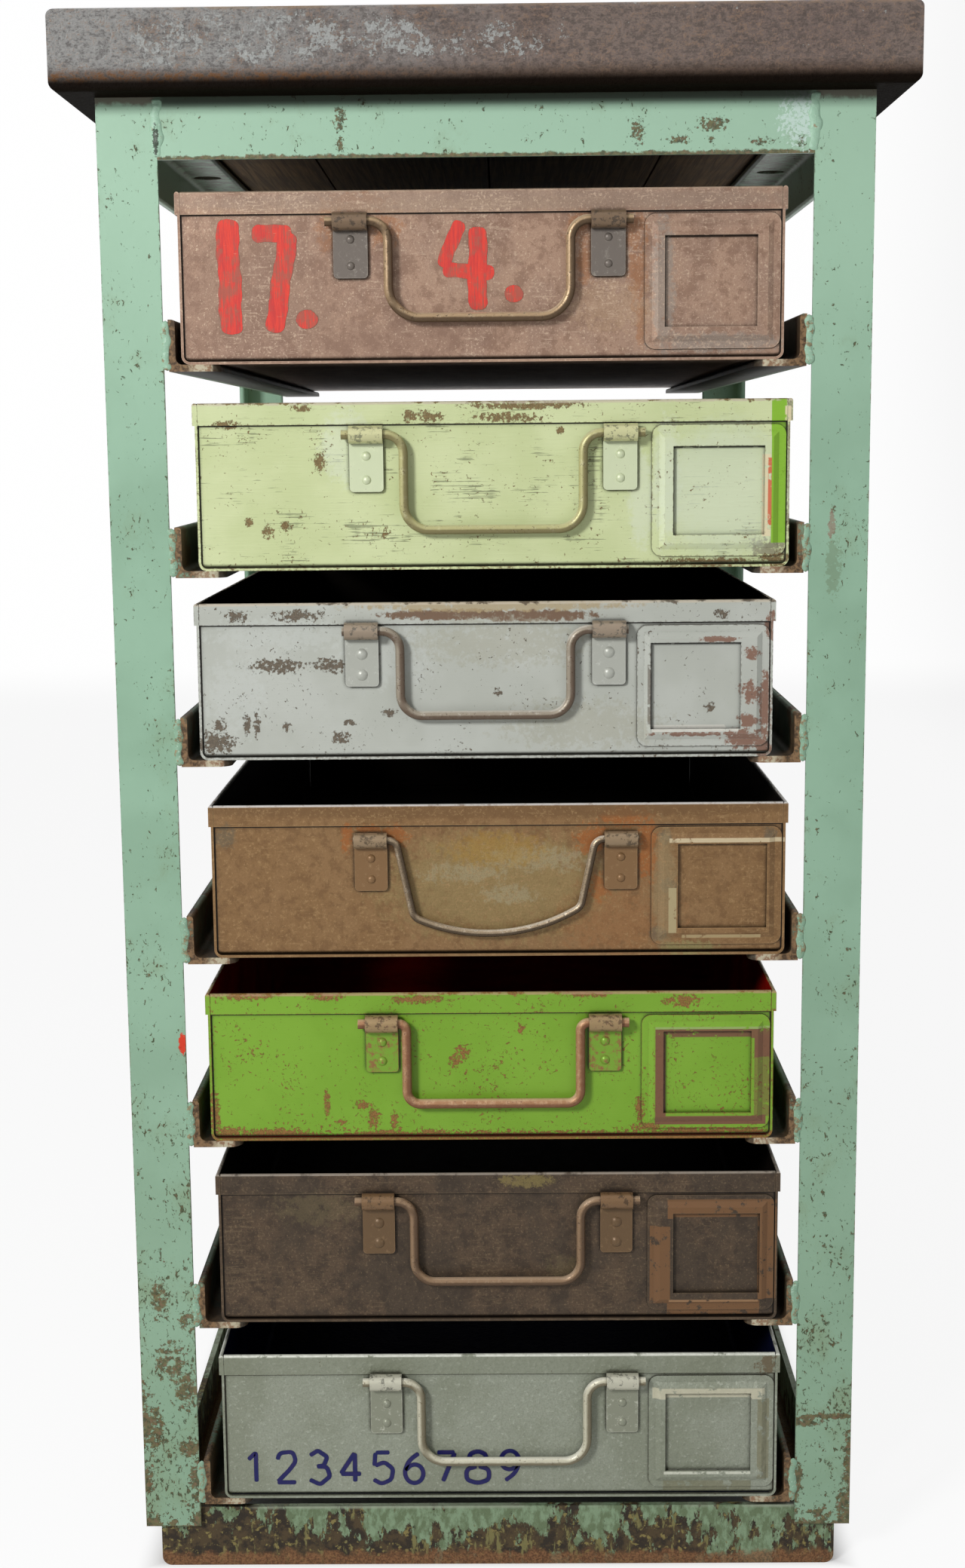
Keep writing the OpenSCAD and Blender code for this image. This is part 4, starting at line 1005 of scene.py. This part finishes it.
# For each drawer: the lugs' plate, worn plate, dark spots (also the tint of their painted shade)
# and eye, and the bail's wire, worn wire (also its painted highlight) and dark spots (also its
# painted shade) with the rest of its finish.
fittings = (
    ((112, 104, 97), (146, 138, 128), (70, 62, 56), (120, 98, 76),
     (166, 140, 108), (222, 202, 172), (70, 52, 36), dict(metal=0.3, rough=0.34, sides=1.0)),
    ((204, 213, 178), (210, 218, 184), (104, 90, 60), (198, 196, 148),
     (178, 174, 124), (216, 214, 176), (84, 68, 38), dict(sides=0.75)),
    ((172, 174, 165), (196, 198, 190), (100, 82, 66), (146, 128, 108),
     (150, 140, 124), (226, 222, 212), (78, 56, 40), dict(sides=0.9)),
    ((128, 98, 66), (150, 122, 88), (88, 66, 44), (146, 126, 100),
     (150, 132, 108), (236, 228, 212), (58, 44, 30), dict(metal=0.4, rough=0.28, sides=1.0)),
    ((120, 160, 54), (142, 102, 64), (104, 80, 44), (158, 126, 98),
     (164, 122, 88), (222, 190, 154), (112, 70, 48), dict(wear=0.06, sides=0.9)),
    ((104, 82, 58), (130, 104, 76), (66, 52, 38), (124, 96, 68),
     (140, 114, 88), (192, 168, 142), (74, 54, 38), dict(sides=0.9)),
    ((138, 141, 124), (190, 191, 176), (98, 94, 74), (196, 194, 176),
     (196, 192, 170), (236, 234, 220), (104, 94, 70), dict(sides=1.0)),
)
for n, (plate, worn, dark, eye, wire, worn_and_lit_wire, dark_and_shaded_wire, finish) in enumerate(fittings, 1):
    wear = 0.04 if n == 5 else -0.04
    steel = worn_steel(f"lug_{n}_steel", plate, worn, dark, wear, eye=eye, eye_z=eye_height(n))
    cover(steel, f"drawer_{n}_lugs")
    cover(worn_steel(f"bail_{n}_wire", wire, worn_and_lit_wire, dark_and_shaded_wire, **finish), f"drawer_{n}_bail")

# ---- Floor, light and camera -----------------------------------------------------------------
# A seamless pale sweep, soft boxes at the left, the right and above, and a weak white surround.
# The camera stands in front of the cabinet, a little above its middle, and looks slightly down.


def sweep():
    """Floor and wall as one sheet: flat, then a quarter circle of radius bend, then upright."""
    bend, half_wide, near, flat, tall = 1.2, 9, -7, 11, 6
    v = np.linspace(0, 1, 60)
    turn = np.clip((v - 0.4) / 0.2, 0, 1) * np.pi / 2
    y = np.where(v < 0.4, near + v / 0.4 * flat, near + flat + bend * np.sin(turn))
    z = bend * (1 - np.cos(turn)) + np.clip((v - 0.6) / 0.4, 0, 1) * tall
    x = np.linspace(-half_wide, half_wide, 3)
    points = np.stack(np.broadcast_arrays(x[None, :], y[:, None], z[:, None]), -1)
    faces = quads(*points.shape[:2], closed=False)[:, ::-1]
    piece = surface("sweep", points.reshape(-1, 3), faces, white_paper())


def seen_directly(graph):
    """1 where the camera, polished metal or glass sees the white, 0 where it only gives light."""
    seen = graph.add("ShaderNodeLightPath").outputs
    return graph.most(seen["Is Camera Ray"], seen["Is Glossy Ray"], seen["Is Transmission Ray"])


def white_paper():
    """Pale paper that still takes a shadow. The camera and polished metal see it nearly white, with
    painted shade that greys it a little to the right, except under the cabinet, where no light reaches it."""
    coat = Coat("white_paper")
    beside = coat.most(coat.rise(coat.far(coat.x), 205, 235), coat.rise(coat.far(coat.y), 330, 350),
                       coat.rise(coat.z, 1, 5))
    coat.colour = (0.9, 0.9, 0.9, 1)
    coat.done(0.9)
    # Painted shade: the glow greys a little to the right.
    shine = coat.mix(coat.rise(coat.x, 900, 1900), (1.03, 1.03, 1.03, 1), coat.colour)
    glow = coat.add("ShaderNodeEmission", {"Color": shine})
    weight = coat.total((coat.rise(coat.z, 0, 100), 0.08), 0.88)
    blend = coat.add("ShaderNodeMixShader", {0: coat.times(seen_directly(coat), beside, weight),
                                             1: coat.shader.outputs[0], 2: glow.outputs[0]})
    coat.feed(coat.tree.nodes["Material Output"].inputs["Surface"], blend.outputs[0])
    return coat.material


def surround():
    """White as the camera and polished metal see it, dimmer as a lamp."""
    world = bpy.data.worlds.new("surround")
    world.use_nodes = True
    graph = Graph(world.node_tree)
    strength = graph.add("ShaderNodeMapRange", {"Value": seen_directly(graph), "To Min": 0.13})
    sky = graph.tree.nodes["Background"]
    graph.feed(sky.inputs["Color"], (1, 1, 1, 1))
    graph.feed(sky.inputs["Strength"], strength.outputs["Result"])
    bpy.context.scene.world = world


def soft_box(name, place, target, size, power):
    """An area lamp size metres wide that faces target."""
    lamp = bpy.data.lights.new(name, "AREA")
    lamp.shape = "RECTANGLE"
    lamp.size, lamp.size_y = size
    lamp.energy = power
    box = bpy.data.objects.new(name, lamp)
    box.location = place
    aim = np.array(target, float) - np.array(place, float)
    box.rotation_euler = (math.atan2(math.hypot(aim[0], aim[1]), -aim[2]), 0, math.atan2(-aim[0], aim[1]))
    bpy.context.scene.collection.objects.link(box)


def look():
    """The camera: its place, and its three axes from a turn of -0.59, a tilt of 9.09 down and a
    roll of 0.53 degrees."""
    place = (0.008, -1.617, 0.7133)
    turn, tilt, roll = (math.radians(a) for a in (-0.59, 9.09, 0.53))
    ahead = np.array((math.sin(turn) * math.cos(tilt), math.cos(turn) * math.cos(tilt), -math.sin(tilt)))
    right = np.array((math.cos(turn), -math.sin(turn), 0.0))
    down = np.cross(ahead, right)
    across = math.cos(roll) * right + math.sin(roll) * down
    drop = math.cos(roll) * down - math.sin(roll) * right
    pose = np.eye(4)
    pose[:3] = np.stack([across, -drop, -ahead, place], -1)
    lens = bpy.data.cameras.new("camera")
    lens.lens = 48.88
    lens.sensor_width = 36
    lens.sensor_fit = "AUTO"
    camera = bpy.data.objects.new("camera", lens)
    camera.matrix_world = pose.T.tolist()
    bpy.context.scene.collection.objects.link(camera)
    bpy.context.scene.camera = camera


sweep()
surround()
soft_box("key", (-1.35, -2.3, 1.6), (0, -0.3, 0.5), (0.5, 0.5), 48)
soft_box("fill", (1.9, -2.4, 1.1), (0, -0.2, 0.45), (1.6, 1.6), 5)
soft_box("top", (0, -1.0, 3.0), (0, -0.2, 0.5), (1.6, 1.6), 9)
look()
bpy.context.scene.view_settings.view_transform = "Standard"
